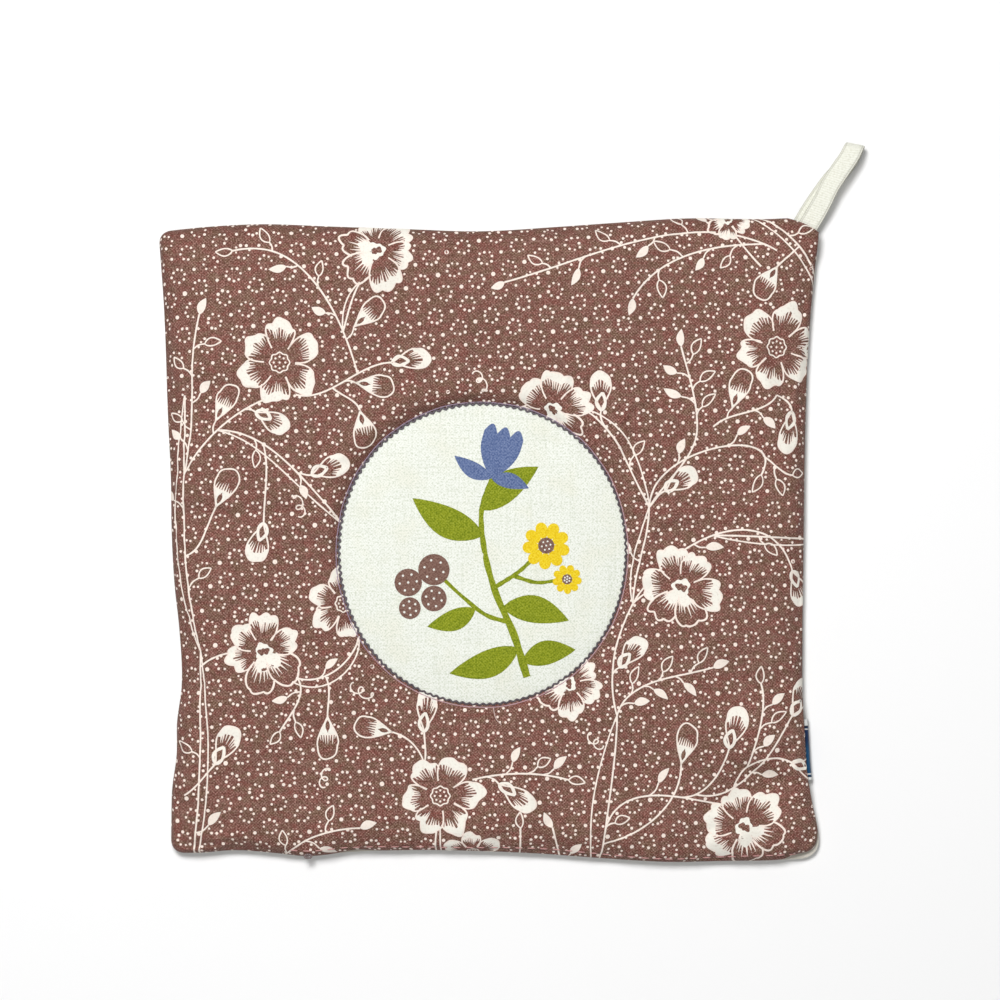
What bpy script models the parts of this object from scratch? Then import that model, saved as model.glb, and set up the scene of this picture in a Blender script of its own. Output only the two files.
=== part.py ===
"""Quilted pot holder: a filled square pad that lies flat with its front side up.

The front cover and its filling are one solid. A sewn channel runs round a
window in it, and a pale disc is set just below the window's edge. A flat back
cover closes the pad. A folded tape in one corner is the hanging loop, and a
small label is sewn into the right side.

Frame: +Z up, +Y towards the corner with the loop, origin in the middle of the
flat underside. Every length in the constants and tables is in millimetres.
"""
import math
from collections import namedtuple

import bmesh
import bpy
import numpy as np

MM = 0.001          # metres in a millimetre
GAP = 0.3           # clearance between neighbouring pieces

# Pad, seen from above.
Corner = namedtuple("Corner", "x y cut")    # cut: how far the rounding reaches along the sides
CORNERS = {
    "bottom_left": Corner(-99.2, -98.0, 4.5),
    "bottom_right": Corner(103.6, -99.3, 6.0),
    "top_right": Corner(103.4, 100.3, 9.5),
    "top_left": Corner(-103.1, 95.8, 4.0),
}
# Each side as (share of the way along it, bulge outwards from the straight chord).
SIDE_BULGES = {
    "bottom": ((0.0, 0.0), (0.04, 0.0), (0.10, -0.9), (0.16, -0.1), (0.21, 0.8), (0.27, -0.4), (0.35, -1.2),
               (0.48, -1.1), (0.56, -0.5), (0.66, 0.8), (0.77, 1.9), (0.85, 1.5), (0.94, 1.1), (1.0, 0.3)),
    "right": ((0.0, 0.0), (0.04, -0.5), (0.08, -2.2), (0.13, -3.3), (0.19, -4.0), (0.25, -5.2), (0.33, -5.4),
              (0.50, -5.0), (0.68, -4.4), (0.80, -3.5), (0.88, -2.2), (0.96, -0.6), (1.0, 0.0)),
    "top": ((0.0, 0.0), (0.10, 0.1), (0.20, 0.8), (0.30, 0.0), (0.39, -0.9), (0.52, -1.8), (0.62, -0.7),
            (0.74, 0.7), (0.85, 1.9), (0.92, 1.5), (1.0, 0.2)),
    "left": ((0.0, 0.0), (0.12, -1.2), (0.30, -1.8), (0.40, -2.3), (0.48, -2.2), (0.57, -2.8), (0.64, -4.0),
             (0.735, -4.3), (0.79, -2.7), (0.84, -2.4), (0.90, -0.7), (0.95, -0.3), (1.0, 0.0)),
}
SIDES = (("bottom", "bottom_left", "bottom_right"), ("right", "bottom_right", "top_right"),
         ("top", "top_right", "top_left"), ("left", "top_left", "bottom_left"))
SIDE_STEPS = 24         # points on each side
CORNER_STEPS = 5        # chords in each rounded corner

# Window and medallion: a circle round a centre a little off the middle, cut by hand and so uneven.
WINDOW_X, WINDOW_Y = -2.2, -5.0
WINDOW_R = 46.05
Wave = namedtuple("Wave", "times right up")     # bulges that repeat `times` round the circle
WINDOW_WAVES = (Wave(1, 0.3, 0.5), Wave(2, -1.05, 0.0), Wave(3, 0.0, 0.15), Wave(4, -0.2, 0.0))

# Pad, seen from the side.
CROWN = 9.6             # height of the plump part
BACK_THICK = 1.2        # back cover
RIM_RISE = 1.4          # how far the seam lifts the back cover off the surface
RIM_THICK = 0.5         # front cover's upright edge at the seam
ROLL_SHARE = 0.27       # part of the way from seam to window in which the front rises to its crown
MARGIN_SHARE = 0.17     # the same for the back cover's lifted margin
CHANNEL_DEPTH = 2.8     # sewn channel round the window
CHANNEL_REACH = 15.0
BACK_CHANNEL_DEPTH = 0.5
BACK_CHANNEL_REACH = 5.0
MEDALLION_THICK = 1.2
MEDALLION_SET = 0.45    # medallion's edge below the window's edge
MEDALLION_CROWN = 2.2

# Main folds of the front: troughs (depth > 0) and ridges, each an ellipse of soft fall-off.
Fold = namedtuple("Fold", "x y heading half_length half_width depth")
FOLDS = (
    Fold(79.0, -68.5, -14.0, 18.0, 3.2, 1.5),       # crease that runs in from the label
    Fold(78.0, -57.0, -12.0, 17.0, 6.0, -0.6),
    Fold(88.0, -83.0, -20.0, 14.0, 6.0, -0.5),
    Fold(-21.0, 69.0, -75.0, 24.0, 5.0, 0.8),       # soft fold from the top side to the window
    Fold(-2.5, 56.0, 90.0, 12.0, 4.5, 0.7),
    Fold(-3.0, 92.0, 90.0, 7.0, 9.0, 0.7),          # dimple where the top side is drawn in
    Fold(-80.0, 7.5, 2.0, 16.0, 4.5, 0.6),
    Fold(66.0, 19.0, 8.0, 17.0, 6.0, 0.5),
    Fold(-7.5, -66.0, -52.0, 14.0, 5.0, 0.6),
)

# Where a sewn-in piece lifts the front off the back: root, outward heading, size and lift.
Tuck = namedtuple("Tuck", "x y heading half_width blend depth lift")
TUCK_SLACK = 0.3        # room for the bend of what is sewn in
TAPE_THICK = 1.0
TAPE_WIDTH = 6.1
LABEL_THICK = 1.0
LOOP_ROOT = (98.75, 98.6)
LOOP_HEADING = 57.3
LABEL_Y = (-75.9, -55.3)
LABEL_DEPTH = 2.5
TUCKS = (
    Tuck(98.9, 98.4, LOOP_HEADING, 6.4, 4.5, 5.0, 2 * (TAPE_THICK + GAP) + TUCK_SLACK),
    Tuck(99.8, -65.6, -4.0, 12.5, 5.0, 3.4, LABEL_THICK + GAP + TUCK_SLACK),
)

# Where the front is drawn in so that the back cover peeps out: place, reach and spread along the seam.
Peep = namedtuple("Peep", "x y reach spread")
PEEPS = (Peep(99.0, -98.0, 1.1, 7.0), Peep(-41.0, -98.5, 0.7, 5.0))
PEEP_SHARE = 0.04       # part of the way in from the seam over which the front is drawn in

# Hanging loop's centre line: outwards from its root, up from the surface, aside to the right, and
# the turn of the tape's width towards the far end, in degrees.
LOOP_PATH = (
    (-3.5, 2.9, -0.4, 0.0), (0.0, 3.4, -0.4, 0.0), (2.5, 3.2, -0.5, 0.0), (6.0, 1.9, -0.5, 0.0),
    (10.0, 0.85, -0.4, 0.0), (16.0, 0.7, -0.1, 0.0), (22.0, 0.7, 0.8, 4.0), (26.0, 1.0, 0.8, 14.0),
    (28.4, 2.1, 0.4, 20.0), (29.1, 3.7, 0.1, 22.0), (28.2, 5.4, 0.1, 20.0), (25.3, 6.4, 0.4, 12.0),
    (20.0, 6.6, 0.3, 3.0), (14.0, 6.45, 0.3, 0.0), (9.0, 6.0, 0.9, 0.0), (4.5, 5.3, 1.2, 0.0),
    (0.0, 4.7, 1.35, 0.0), (-3.5, 4.15, 1.35, 0.0),
)
LOOP_STEPS = 56

# Label's centre line across the seam: outwards from the seam, up from the surface.
LABEL_PATH = ((-LABEL_DEPTH, 2.75), (-1.2, 3.1), (0.0, 3.4), (0.6, 3.35), (0.9, 2.95), (0.9, 0.9))

# Rings of the pad's skins: first by distance from the window, then as shares of the way to the seam.
FRONT_DISTANCES = (0.0, 2.5, 6.0, 10.5)
FRONT_SHARES = (0.33, 0.52, 0.70, 0.82, 0.91, 0.97, 1.0)
UNDER_DISTANCES = (BACK_CHANNEL_REACH,)
UNDER_SHARES = (0.50, 1.0 - MARGIN_SHARE, 0.90, 0.96, 1.0)
DISC_SHARES = (0.40, 0.75, 1.0)     # rings of the medallion, as shares of the window's radius
BACK_DISC_SHARES = (0.40, 1.0 - BACK_CHANNEL_REACH / WINDOW_R, 1.0)

# name: colour (linear), roughness
FINISHES = {
    "front_panel": ((0.190, 0.095, 0.075), 0.9),
    "back_panel": ((0.780, 0.740, 0.640), 0.9),
    "medallion": ((0.840, 0.850, 0.790), 0.9),
    "hanging_loop": ((0.800, 0.790, 0.700), 0.85),
    "side_label": ((0.015, 0.040, 0.100), 0.6),
}


def smooth_rows(rows, where):
    """Values at `where` on a smooth curve through rows of (place, value)."""
    place, value = np.array(rows, float).T
    slope = np.gradient(value, place)
    cell = np.clip(np.searchsorted(place, where, side="right") - 1, 0, len(place) - 2)
    span = place[cell + 1] - place[cell]
    u = (where - place[cell]) / span
    blend = u * u * (3 - 2 * u)
    value_part = value[cell] * (1 - blend) + value[cell + 1] * blend
    start_part = slope[cell] * span * u * (1 - u) ** 2
    end_part = slope[cell + 1] * span * u * u * (1 - u)
    return value_part + start_part - end_part


def smooth_step(x):
    x = np.clip(x, 0.0, 1.0)
    return x * x * (3 - 2 * x)


def side_run(name, start, end):
    """Points of one side between its rounded corners."""
    first, last = CORNERS[start], CORNERS[end]
    begin = np.array((first.x, first.y))
    chord = np.array((last.x, last.y)) - begin
    length = np.hypot(*chord)
    outward = np.array((chord[1], -chord[0])) / length
    along = np.linspace(first.cut / length, 1 - last.cut / length, SIDE_STEPS)
    bulge = smooth_rows(SIDE_BULGES[name], along)
    return begin + along[:, None] * chord + bulge[:, None] * outward


def seam_line():
    """The pad's seam seen from above, anticlockwise, its corners rounded by quadratic curves."""
    runs = [side_run(*side) for side in SIDES]
    pieces = []
    for index, (_, _, end) in enumerate(SIDES):
        run, following = runs[index], runs[(index + 1) % len(runs)]
        corner = np.array((CORNERS[end].x, CORNERS[end].y))
        u = (np.arange(1, CORNER_STEPS) / CORNER_STEPS)[:, None]
        pieces += [run, (1 - u) ** 2 * run[-1] + 2 * u * (1 - u) * corner + u * u * following[0]]
    return np.vstack(pieces)


def window_line(seam):
    """The window's edge, one point in the direction of each seam point."""
    centre = np.array((WINDOW_X, WINDOW_Y))
    away = seam - centre
    turn = np.arctan2(away[:, 1], away[:, 0])
    radius = WINDOW_R + sum(wave.right * np.cos(wave.times * turn) + wave.up * np.sin(wave.times * turn)
                            for wave in WINDOW_WAVES)
    return centre + radius[:, None] * np.column_stack((np.cos(turn), np.sin(turn)))


def fold_depth(xy):
    """How far the folds sink the front at each point."""
    total = np.zeros(len(xy))
    for fold in FOLDS:
        turn = math.radians(fold.heading)
        away = xy - (fold.x, fold.y)
        along = away @ (math.cos(turn), math.sin(turn))
        across = away @ (-math.sin(turn), math.cos(turn))
        total += fold.depth * np.exp(-(along / fold.half_length) ** 2 - (across / fold.half_width) ** 2)
    return total


def tuck_lift(xy):
    """How far the sewn-in pieces lift the front at each point."""
    total = np.zeros(len(xy))
    for tuck in TUCKS:
        turn = math.radians(tuck.heading)
        away = xy - (tuck.x, tuck.y)
        inward = -(away @ (math.cos(turn), math.sin(turn)))
        across = np.abs(away @ (-math.sin(turn), math.cos(turn)))
        beside = 1 - smooth_step((across - tuck.half_width) / tuck.blend)
        inside = 1 - smooth_step((inward - tuck.depth) / tuck.blend)
        total += tuck.lift * beside * inside
    return total


class Pad:
    """Rings of the pad between the window's edge (share 0) and the seam (share 1)."""

    def __init__(self):
        self.seam = seam_line()
        self.window = window_line(self.seam)
        self.reach = np.hypot(*(self.seam - self.window).T)
        along = np.roll(self.seam, -1, axis=0) - np.roll(self.seam, 1, axis=0)
        inward = np.column_stack((-along[:, 1], along[:, 0])) / np.hypot(*along.T)[:, None]
        drawn_in = sum(peep.reach * np.exp(-np.sum((self.seam - (peep.x, peep.y)) ** 2, axis=1)
                                           / peep.spread ** 2) for peep in PEEPS)
        self.peep = drawn_in[:, None] * inward

    def shares(self, distances, fixed):
        """Each ring's share at every seam point: rings at a distance, then rings at a fixed share."""
        return [distance / self.reach for distance in distances] + [np.full_like(self.reach, share)
                                                                    for share in fixed]

    def ring(self, share):
        return self.window + share[:, None] * (self.seam - self.window)

    def front_ring(self, share):
        near_seam = np.clip((share - 1 + PEEP_SHARE) / PEEP_SHARE, 0.0, 1.0)
        return self.ring(share) + near_seam[:, None] * self.peep

    def disc(self, share):
        centre = np.array((WINDOW_X, WINDOW_Y))
        return centre + share * (self.window - centre)

    def front(self, share):
        """The front's upper surface: an elliptical roll from the seam, and the channel."""
        xy = self.front_ring(share)
        inner = np.minimum((1 - share) / ROLL_SHARE, 1.0)
        roll = np.sqrt(1 - (1 - inner) ** 2)
        near_window = np.clip(1 - share * self.reach / CHANNEL_REACH, 0.0, 1.0)
        rim = BACK_THICK + RIM_RISE + GAP + RIM_THICK
        height = rim + (CROWN - rim) * roll - CHANNEL_DEPTH * near_window ** 2
        height += tuck_lift(xy) * (1 - roll) - fold_depth(xy) * roll
        return np.column_stack((xy, height))

    def back(self, share, above=0.0):
        """The back cover's underside, or a surface `above` it: flat, with a lifted margin."""
        outer = np.maximum((share - 1 + MARGIN_SHARE) / MARGIN_SHARE, 0.0)
        near_window = np.clip(1 - share * self.reach / BACK_CHANNEL_REACH, 0.0, 1.0)
        height = above + RIM_RISE * outer ** 2 + BACK_CHANNEL_DEPTH * near_window ** 2
        return np.column_stack((self.ring(share), height))

    def under_front(self, share):
        """The front solid's underside, lifted clear of the back cover and of what is sewn in."""
        ring = self.back(share, BACK_THICK + GAP)
        ring[:, :2] = self.front_ring(share)
        ring[:, 2] += tuck_lift(ring[:, :2])
        return ring

    def back_disc(self, share, above=0.0):
        """The same surface as `back` inside the window."""
        near_window = max(1 - (1 - share) * WINDOW_R / BACK_CHANNEL_REACH, 0.0)
        height = above + BACK_CHANNEL_DEPTH * near_window ** 2
        return np.column_stack((self.disc(share), np.full(len(self.seam), height)))

    def medallion(self, share, below=0.0):
        """The medallion's upper surface, or a surface `below` it."""
        edge = CROWN - CHANNEL_DEPTH - MEDALLION_SET
        height = edge + MEDALLION_CROWN * (1 - share ** 4) - below
        return np.column_stack((self.disc(share), np.full(len(self.seam), height)))


def new_object(name, mesh_builder):
    mesh = bpy.data.meshes.new(name)
    mesh_builder.to_mesh(mesh)
    mesh_builder.free()
    mesh.shade_smooth()
    mesh.set_sharp_from_angle(angle=math.radians(50))
    mesh.materials.append(finish(name))
    piece = bpy.data.objects.new(name, mesh)
    bpy.context.collection.objects.link(piece)
    return piece


def finish(name):
    colour, roughness = FINISHES[name]
    material = bpy.data.materials.new(name)
    material.use_nodes = True
    surface = material.node_tree.nodes["Principled BSDF"]
    surface.inputs["Base Color"].default_value = (*colour, 1.0)
    surface.inputs["Roughness"].default_value = roughness
    surface.inputs["Metallic"].default_value = 0.0
    return material


def pad_skin(builder, top, bottom):
    """Closes a body between two stacks of rings, each running from the middle out to the rim."""
    def make_ring(points):
        return [builder.verts.new(point * MM) for point in points]

    def make_pole(points):
        x, y = WINDOW_X, WINDOW_Y
        return builder.verts.new((x * MM, y * MM, points[0][2] * MM))

    def band(inner, outer, upwards):
        for j in range(len(inner)):
            k = (j + 1) % len(inner)
            for face in ((inner[j], outer[j], outer[k]), (inner[j], outer[k], inner[k])):
                builder.faces.new(face if upwards else face[::-1])

    def fan(pole, ring, upwards):
        for j in range(len(ring)):
            k = (j + 1) % len(ring)
            face = (pole, ring[j], ring[k])
            builder.faces.new(face if upwards else face[::-1])

    top_rings = [make_ring(points) for points in top]
    bottom_rings = [make_ring(points) for points in bottom]
    fan(make_pole(top[0]), top_rings[0], True)
    for inner, outer in zip(top_rings, top_rings[1:]):
        band(inner, outer, True)
    fan(make_pole(bottom[0]), bottom_rings[0], False)
    for inner, outer in zip(bottom_rings, bottom_rings[1:]):
        band(inner, outer, False)
    band(bottom_rings[-1], top_rings[-1], False)


def front_panel(pad):
    """Printed cover and filling: recess for the medallion, channel, crown and rolled sides."""
    below = MEDALLION_THICK + GAP
    top = [pad.medallion(share, below) for share in DISC_SHARES]
    top += [pad.front(share) for share in pad.shares(FRONT_DISTANCES, FRONT_SHARES)]
    bottom = [pad.back_disc(share, BACK_THICK + GAP) for share in BACK_DISC_SHARES]
    bottom += [pad.under_front(share) for share in pad.shares(UNDER_DISTANCES, UNDER_SHARES)]
    builder = bmesh.new()
    pad_skin(builder, top, bottom)
    return new_object("front_panel", builder)


def back_panel(pad):
    """Plain cover underneath, flat on the surface, peeping out past the front in two places."""
    def rings(above):
        inner = [pad.back_disc(share, above) for share in BACK_DISC_SHARES]
        return inner + [pad.back(share, above) for share in pad.shares(UNDER_DISTANCES, UNDER_SHARES)]

    builder = bmesh.new()
    pad_skin(builder, rings(BACK_THICK), rings(0.0))
    return new_object("back_panel", builder)


def medallion(pad):
    """Pale disc under the window's edge, drawn in by the gap so that it drops into its recess."""
    centre = np.array((WINDOW_X, WINDOW_Y))

    def rings(below):
        found = [pad.medallion(share, below) for share in DISC_SHARES]
        shrink = 1 - GAP / WINDOW_R
        for ring in found:
            ring[:, :2] = centre + shrink * (ring[:, :2] - centre)
        return found

    builder = bmesh.new()
    pad_skin(builder, rings(0.0), rings(MEDALLION_THICK))
    return new_object("medallion", builder)


def sweep(builder, sections):
    """Closes a body through sections of equal length, with a flat face at each end."""
    rows = [[builder.verts.new(point * MM) for point in section] for section in sections]
    for first, second in zip(rows, rows[1:]):
        for j in range(len(first)):
            k = (j + 1) % len(first)
            builder.faces.new((first[j], first[k], second[k], second[j]))
    builder.faces.new(rows[0][::-1])
    builder.faces.new(rows[-1])
    bmesh.ops.triangulate(builder, faces=builder.faces[:])
    bmesh.ops.recalc_face_normals(builder, faces=builder.faces[:])


def hanging_loop():
    """Tape folded into a loop that parts at its far end, its two ends sewn into the corner."""
    rows = np.array(LOOP_PATH)
    steps = np.hypot(*np.diff(rows[:, :2], axis=0).T)
    place = np.concatenate(((0.0,), np.cumsum(steps)))
    where = np.linspace(0.0, place[-1], LOOP_STEPS)
    columns = [smooth_rows(np.column_stack((place, column)), where)[:, None] for column in rows.T]
    out, up, aside, yaw = columns
    heading = math.radians(LOOP_HEADING)
    forward = np.array((math.cos(heading), math.sin(heading), 0.0))
    right = np.array((math.sin(heading), -math.cos(heading), 0.0))
    line = np.array((*LOOP_ROOT, 0.0)) + out * forward + aside * right + up * np.array((0.0, 0.0, 1.0))
    side = np.cos(np.radians(yaw)) * right + np.sin(np.radians(yaw)) * forward
    face = np.cross(side, np.gradient(line, axis=0))
    face /= np.linalg.norm(face, axis=1)[:, None]
    half_width, half_thick = TAPE_WIDTH / 2 * side, TAPE_THICK / 2 * face
    sections = np.stack((line - half_width - half_thick, line + half_width - half_thick,
                         line + half_width + half_thick, line - half_width + half_thick), axis=1)
    builder = bmesh.new()
    sweep(builder, sections)
    return new_object("hanging_loop", builder)


def side_label(pad):
    """Folded label that comes out of the right seam and hangs down over the edge."""
    low, high = LABEL_Y
    right_side = pad.seam[(pad.seam[:, 0] > 0) & (np.abs(pad.seam[:, 1]) < CORNERS["top_right"].y - 10)]
    inside = right_side[(right_side[:, 1] > low + 1) & (right_side[:, 1] < high - 1)]
    ends = [(np.interp(y, right_side[:, 1], right_side[:, 0]), y) for y in (low, high)]
    stations = np.vstack((ends[0], inside, ends[1]))
    along = np.gradient(stations, axis=0)
    outward = np.column_stack((along[:, 1], -along[:, 0])) / np.hypot(*along.T)[:, None]
    path = np.array(LABEL_PATH)
    tangent = np.gradient(path, axis=0)
    normal = np.column_stack((-tangent[:, 1], tangent[:, 0])) / np.hypot(*tangent.T)[:, None]
    half = LABEL_THICK / 2 * normal
    profile = np.vstack((path + half, (path - half)[::-1]))
    sections = []
    for station, away in zip(stations, outward):
        places = station + profile[:, :1] * away
        sections.append(np.column_stack((places, profile[:, 1])))
    builder = bmesh.new()
    sweep(builder, sections)
    return new_object("side_label", builder)


def main():
    for old in list(bpy.data.objects):
        bpy.data.objects.remove(old, do_unlink=True)
    pad = Pad()
    pieces = (front_panel(pad), back_panel(pad), medallion(pad), hanging_loop(), side_label(pad))
    holder = bpy.data.objects.new("pot_holder", None)
    bpy.context.collection.objects.link(holder)
    for piece in pieces:
        piece.parent = holder


main()
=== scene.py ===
# %% [markdown]
# # A quilted pot holder
# The thing on the table is a filled square of printed cotton, about 200 mm across. A round window in
# its front shows a disc of pale linen, a zigzag stitch holds the window's raw edge down, and a folded
# tape in one corner is its hanging loop. This notebook dresses the measured model of it. The model
# gives the sizes, and every piece made here replaces one of its plain bodies.
# %% Load the measured model
import math
from collections import namedtuple

import bpy
import numpy as np
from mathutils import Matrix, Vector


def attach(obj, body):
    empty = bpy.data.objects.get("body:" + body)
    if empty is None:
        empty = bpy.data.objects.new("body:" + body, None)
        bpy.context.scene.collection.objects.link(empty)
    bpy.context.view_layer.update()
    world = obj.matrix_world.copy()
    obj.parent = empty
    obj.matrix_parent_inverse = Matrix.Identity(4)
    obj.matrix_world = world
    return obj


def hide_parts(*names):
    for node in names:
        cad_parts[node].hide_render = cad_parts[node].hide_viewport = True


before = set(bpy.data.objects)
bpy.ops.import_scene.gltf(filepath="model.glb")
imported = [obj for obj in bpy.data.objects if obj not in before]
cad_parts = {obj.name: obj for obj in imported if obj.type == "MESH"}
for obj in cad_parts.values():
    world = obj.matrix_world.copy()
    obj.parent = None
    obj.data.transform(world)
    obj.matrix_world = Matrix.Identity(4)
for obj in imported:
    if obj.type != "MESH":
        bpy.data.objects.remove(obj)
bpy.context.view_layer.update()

# %% [markdown]
# ## Camera and light
# A flat thing is best seen from straight above. A long lens far away keeps its sides parallel, so the
# camera stands more than a metre and a half up and looks down. The main light is a soft panel high in
# the north-north-west, so slopes that face it are light and those behind a ridge are dark, and that
# is what shows the folds. Two paler panels in the south fill the shadows.
# %% Camera and light
MM = 0.001                      # metres in a millimetre
VIEW_WIDE = 312.5 * MM          # width of the view at the height of the seam
VIEW_X, VIEW_Y, VIEW_Z = 3.6 * MM, 12.2 * MM, 3.4 * MM
LENS, SENSOR = 200.0, 36.0      # millimetres

lens = bpy.data.cameras.new("camera")
lens.lens, lens.sensor_width = LENS, SENSOR
camera = bpy.data.objects.new("camera", lens)
camera.location = (VIEW_X, VIEW_Y, VIEW_Z + VIEW_WIDE * LENS / SENSOR)
bpy.context.scene.collection.objects.link(camera)
bpy.context.scene.camera = camera


def soft_light(name, place, size, watts):
    """A square panel of light that faces the pot holder."""
    panel = bpy.data.lights.new(name, "AREA")
    panel.size, panel.energy = size, watts
    light = bpy.data.objects.new(name, panel)
    light.location = place
    away = Vector(place)
    light.rotation_euler = away.to_track_quat("Z", "Y").to_euler()
    bpy.context.scene.collection.objects.link(light)


soft_light("key_light", (-0.22, 0.46, 1.2), 0.4, 16.2)
soft_light("side_light", (0.7, -0.6, 1.1), 0.9, 0.8)
soft_light("fill_light", (0.0, -0.45, 1.1), 0.8, 2.2)
LIGHT = 1.19            # how bright a white cloth that lies flat looks in these lights
bpy.context.scene.view_settings.view_transform = "Standard"    # white cloth stays white
world = bpy.data.worlds.new("studio")
world.use_nodes = True
world.node_tree.nodes["Background"].inputs["Color"].default_value = (1.0, 1.0, 1.0, 1.0)
world.node_tree.nodes["Background"].inputs["Strength"].default_value = 0.2
bpy.context.scene.world = world
print("camera", round(camera.location.z, 3), "m up,", len(bpy.data.lights), "lights")

# %% [markdown]
# ## Two kinds of tools
# Shapes first: a smooth curve through a few rows of numbers, a soft step, and waves with seeded
# phases that give cloth its small unevenness. Then a grid of points becomes a mesh. All of it works on
# whole arrays, so a surface of eighty thousand faces takes a moment.
# %% Curves, steps and waves


def smooth_rows(place, rows, where):
    """Cubic curve through rows: each row's slope is the slope between its two neighbours."""
    place, rows, where = (np.asarray(x, float) for x in (place, rows, where))
    slope = np.gradient(rows, place, axis=0)
    cell = np.clip(np.searchsorted(place, where, side="right") - 1, 0, len(place) - 2)
    shape = (-1,) + (1,) * (rows.ndim - 1)
    span = (place[cell + 1] - place[cell]).reshape(shape)
    u = (where - place[cell]).reshape(shape) / span
    blend = u * u * (3 - 2 * u)
    bend = slope[cell] * u * (1 - u) ** 2 - slope[cell + 1] * u * u * (1 - u)
    return rows[cell] * (1 - blend) + rows[cell + 1] * blend + span * bend


def smooth_step(x):
    """0 below 0, 1 above 1, and an S between."""
    x = np.clip(x, 0.0, 1.0)
    return x * x * (3 - 2 * x)


def waves(seed, x, y, shortest, longest):
    """Sum of fourteen sine waves over the plane, of random headings, phases and lengths, about -1 to 1."""
    count = 14
    random = np.random.default_rng(seed)
    heading, phase = random.uniform(0, math.tau, (2, count))
    length = random.uniform(shortest, longest, count)
    total = np.zeros(np.broadcast(x, y).shape)
    for turn, start, long in zip(heading, phase, length):
        total += np.sin((x * math.cos(turn) + y * math.sin(turn)) * math.tau / long + start)
    return total / math.sqrt(2 * count)


def chord_places(points):
    """Distance along a line of points, from its first."""
    steps = np.linalg.norm(np.diff(points, axis=0), axis=1)
    return np.concatenate(((0.0,), np.cumsum(steps)))


def directions(angle):
    """Unit vectors in the plane, one for each angle."""
    return np.stack((np.cos(angle), np.sin(angle)), axis=-1)


def left_of(along):
    """Unit vectors a quarter turn to the left of the rows of `along`."""
    return np.column_stack((-along[:, 1], along[:, 0])) / np.maximum(np.hypot(*along.T), 1e-9)[:, None]


print("a soft step half way:", smooth_step(np.array([0.25, 0.5, 0.75])))

# %% Meshes from grids


def grid_faces(rows, columns, wrap=False):
    """Four-sided faces of a grid of points numbered row by row. `wrap` joins the last column to the
    first."""
    i, j = np.meshgrid(np.arange(rows - 1), np.arange(columns if wrap else columns - 1), indexing="ij")
    k = (j + 1) % columns
    corners = (i * columns + j, (i + 1) * columns + j, (i + 1) * columns + k, i * columns + k)
    return np.stack(corners, axis=-1).reshape(-1, 4)


def make_mesh(name, points, *groups):
    """A mesh of points in millimetres. Each group holds faces with the same number of corners."""
    mesh = bpy.data.meshes.new(name)
    sizes = np.concatenate([np.full(len(group), group.shape[1]) for group in groups])
    corners = np.concatenate([group.ravel() for group in groups]).astype(np.int32)
    mesh.vertices.add(len(points))
    mesh.vertices.foreach_set("co", (np.asarray(points) * MM).astype(np.float32).ravel())
    mesh.loops.add(len(corners))
    mesh.loops.foreach_set("vertex_index", corners)
    mesh.polygons.add(len(sizes))
    mesh.polygons.foreach_set("loop_start", (np.cumsum(sizes) - sizes).astype(np.int32))
    mesh.update(calc_edges=True)
    mesh.validate()
    mesh.shade_smooth()
    return mesh


def facing_out(points, quads):
    """Whether the body that the faces close has a positive volume, so that its faces look outwards."""
    a, b, c, d = (points[quads[:, k]] for k in range(4))
    volume = np.sum(a * np.cross(b, c)) + np.sum(a * np.cross(c, d))
    return volume > 0


def skin(name, rings, poles=None):
    """Closed mesh over rings of points: faces between the rings, and at both ends a flat face, or a fan
    of triangles where `poles` gives the two middle points."""
    count, columns = rings.shape[:2]
    points = rings.reshape(-1, 3)
    groups = [grid_faces(count, columns, wrap=True)]
    first, last = np.arange(columns), np.arange(columns) + (count - 1) * columns
    if poles is None:
        groups += [first[None, ::-1], last[None, :]]
    else:
        points = np.vstack((points, poles))
        low = np.full(columns, len(points) - 2)
        groups += [np.stack((low, first, np.roll(first, -1)), axis=1),
                   np.stack((last, low + 1, np.roll(last, -1)), axis=1)]
    if not facing_out(points, groups[0]):
        groups = [group[:, ::-1] for group in groups]
    return make_mesh(name, points, *groups)


def give_cloth(mesh, cloth):
    """Stores where each point lies on the flat cloth, in metres, for weaves that follow the cloth."""
    places = np.column_stack((cloth, np.zeros(len(cloth))))
    attribute = mesh.attributes.new("cloth", "FLOAT_VECTOR", "POINT")
    attribute.data.foreach_set("vector", (places * MM).astype(np.float32).ravel())


def give_number(mesh, name, values):
    """Stores one number for each point, which a material can read by its name."""
    attribute = mesh.attributes.new(name, "FLOAT", "POINT")
    attribute.data.foreach_set("value", values.astype(np.float32))


def give_map(mesh, places):
    """A flat map, 0 to 1 both ways, through which this piece's pattern can be baked."""
    corner = np.empty(len(mesh.loops), np.int32)
    mesh.loops.foreach_get("vertex_index", corner)
    layer = mesh.uv_layers.new(name="OFBake")
    layer.data.foreach_set("uv", places[corner].astype(np.float32).ravel())


def place_piece(name, mesh, material, slot, *nodes):
    """Puts the piece on the pot holder, instead of the plain bodies named in `nodes`."""
    mesh.materials.append(material)
    piece = bpy.data.objects.new(name, mesh)
    bpy.context.scene.collection.objects.link(piece)
    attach(piece, "root")
    if nodes:
        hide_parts(*nodes)
    print(f"{name}: {len(mesh.vertices)} points, {len(mesh.polygons)} faces")
    return piece


print("a strip of 3 by 4 points has", len(grid_faces(3, 4)), "faces")

# %% [markdown]
# ## A small language for materials
# A material in Blender is a web of nodes. Written out node by node it is hard to read, so one small
# class wraps an output socket and lets arithmetic on it add the Math nodes. Everything else comes
# from its `node` method: a type, its settings, and what its sockets get.
# %% Shader arithmetic


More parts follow.
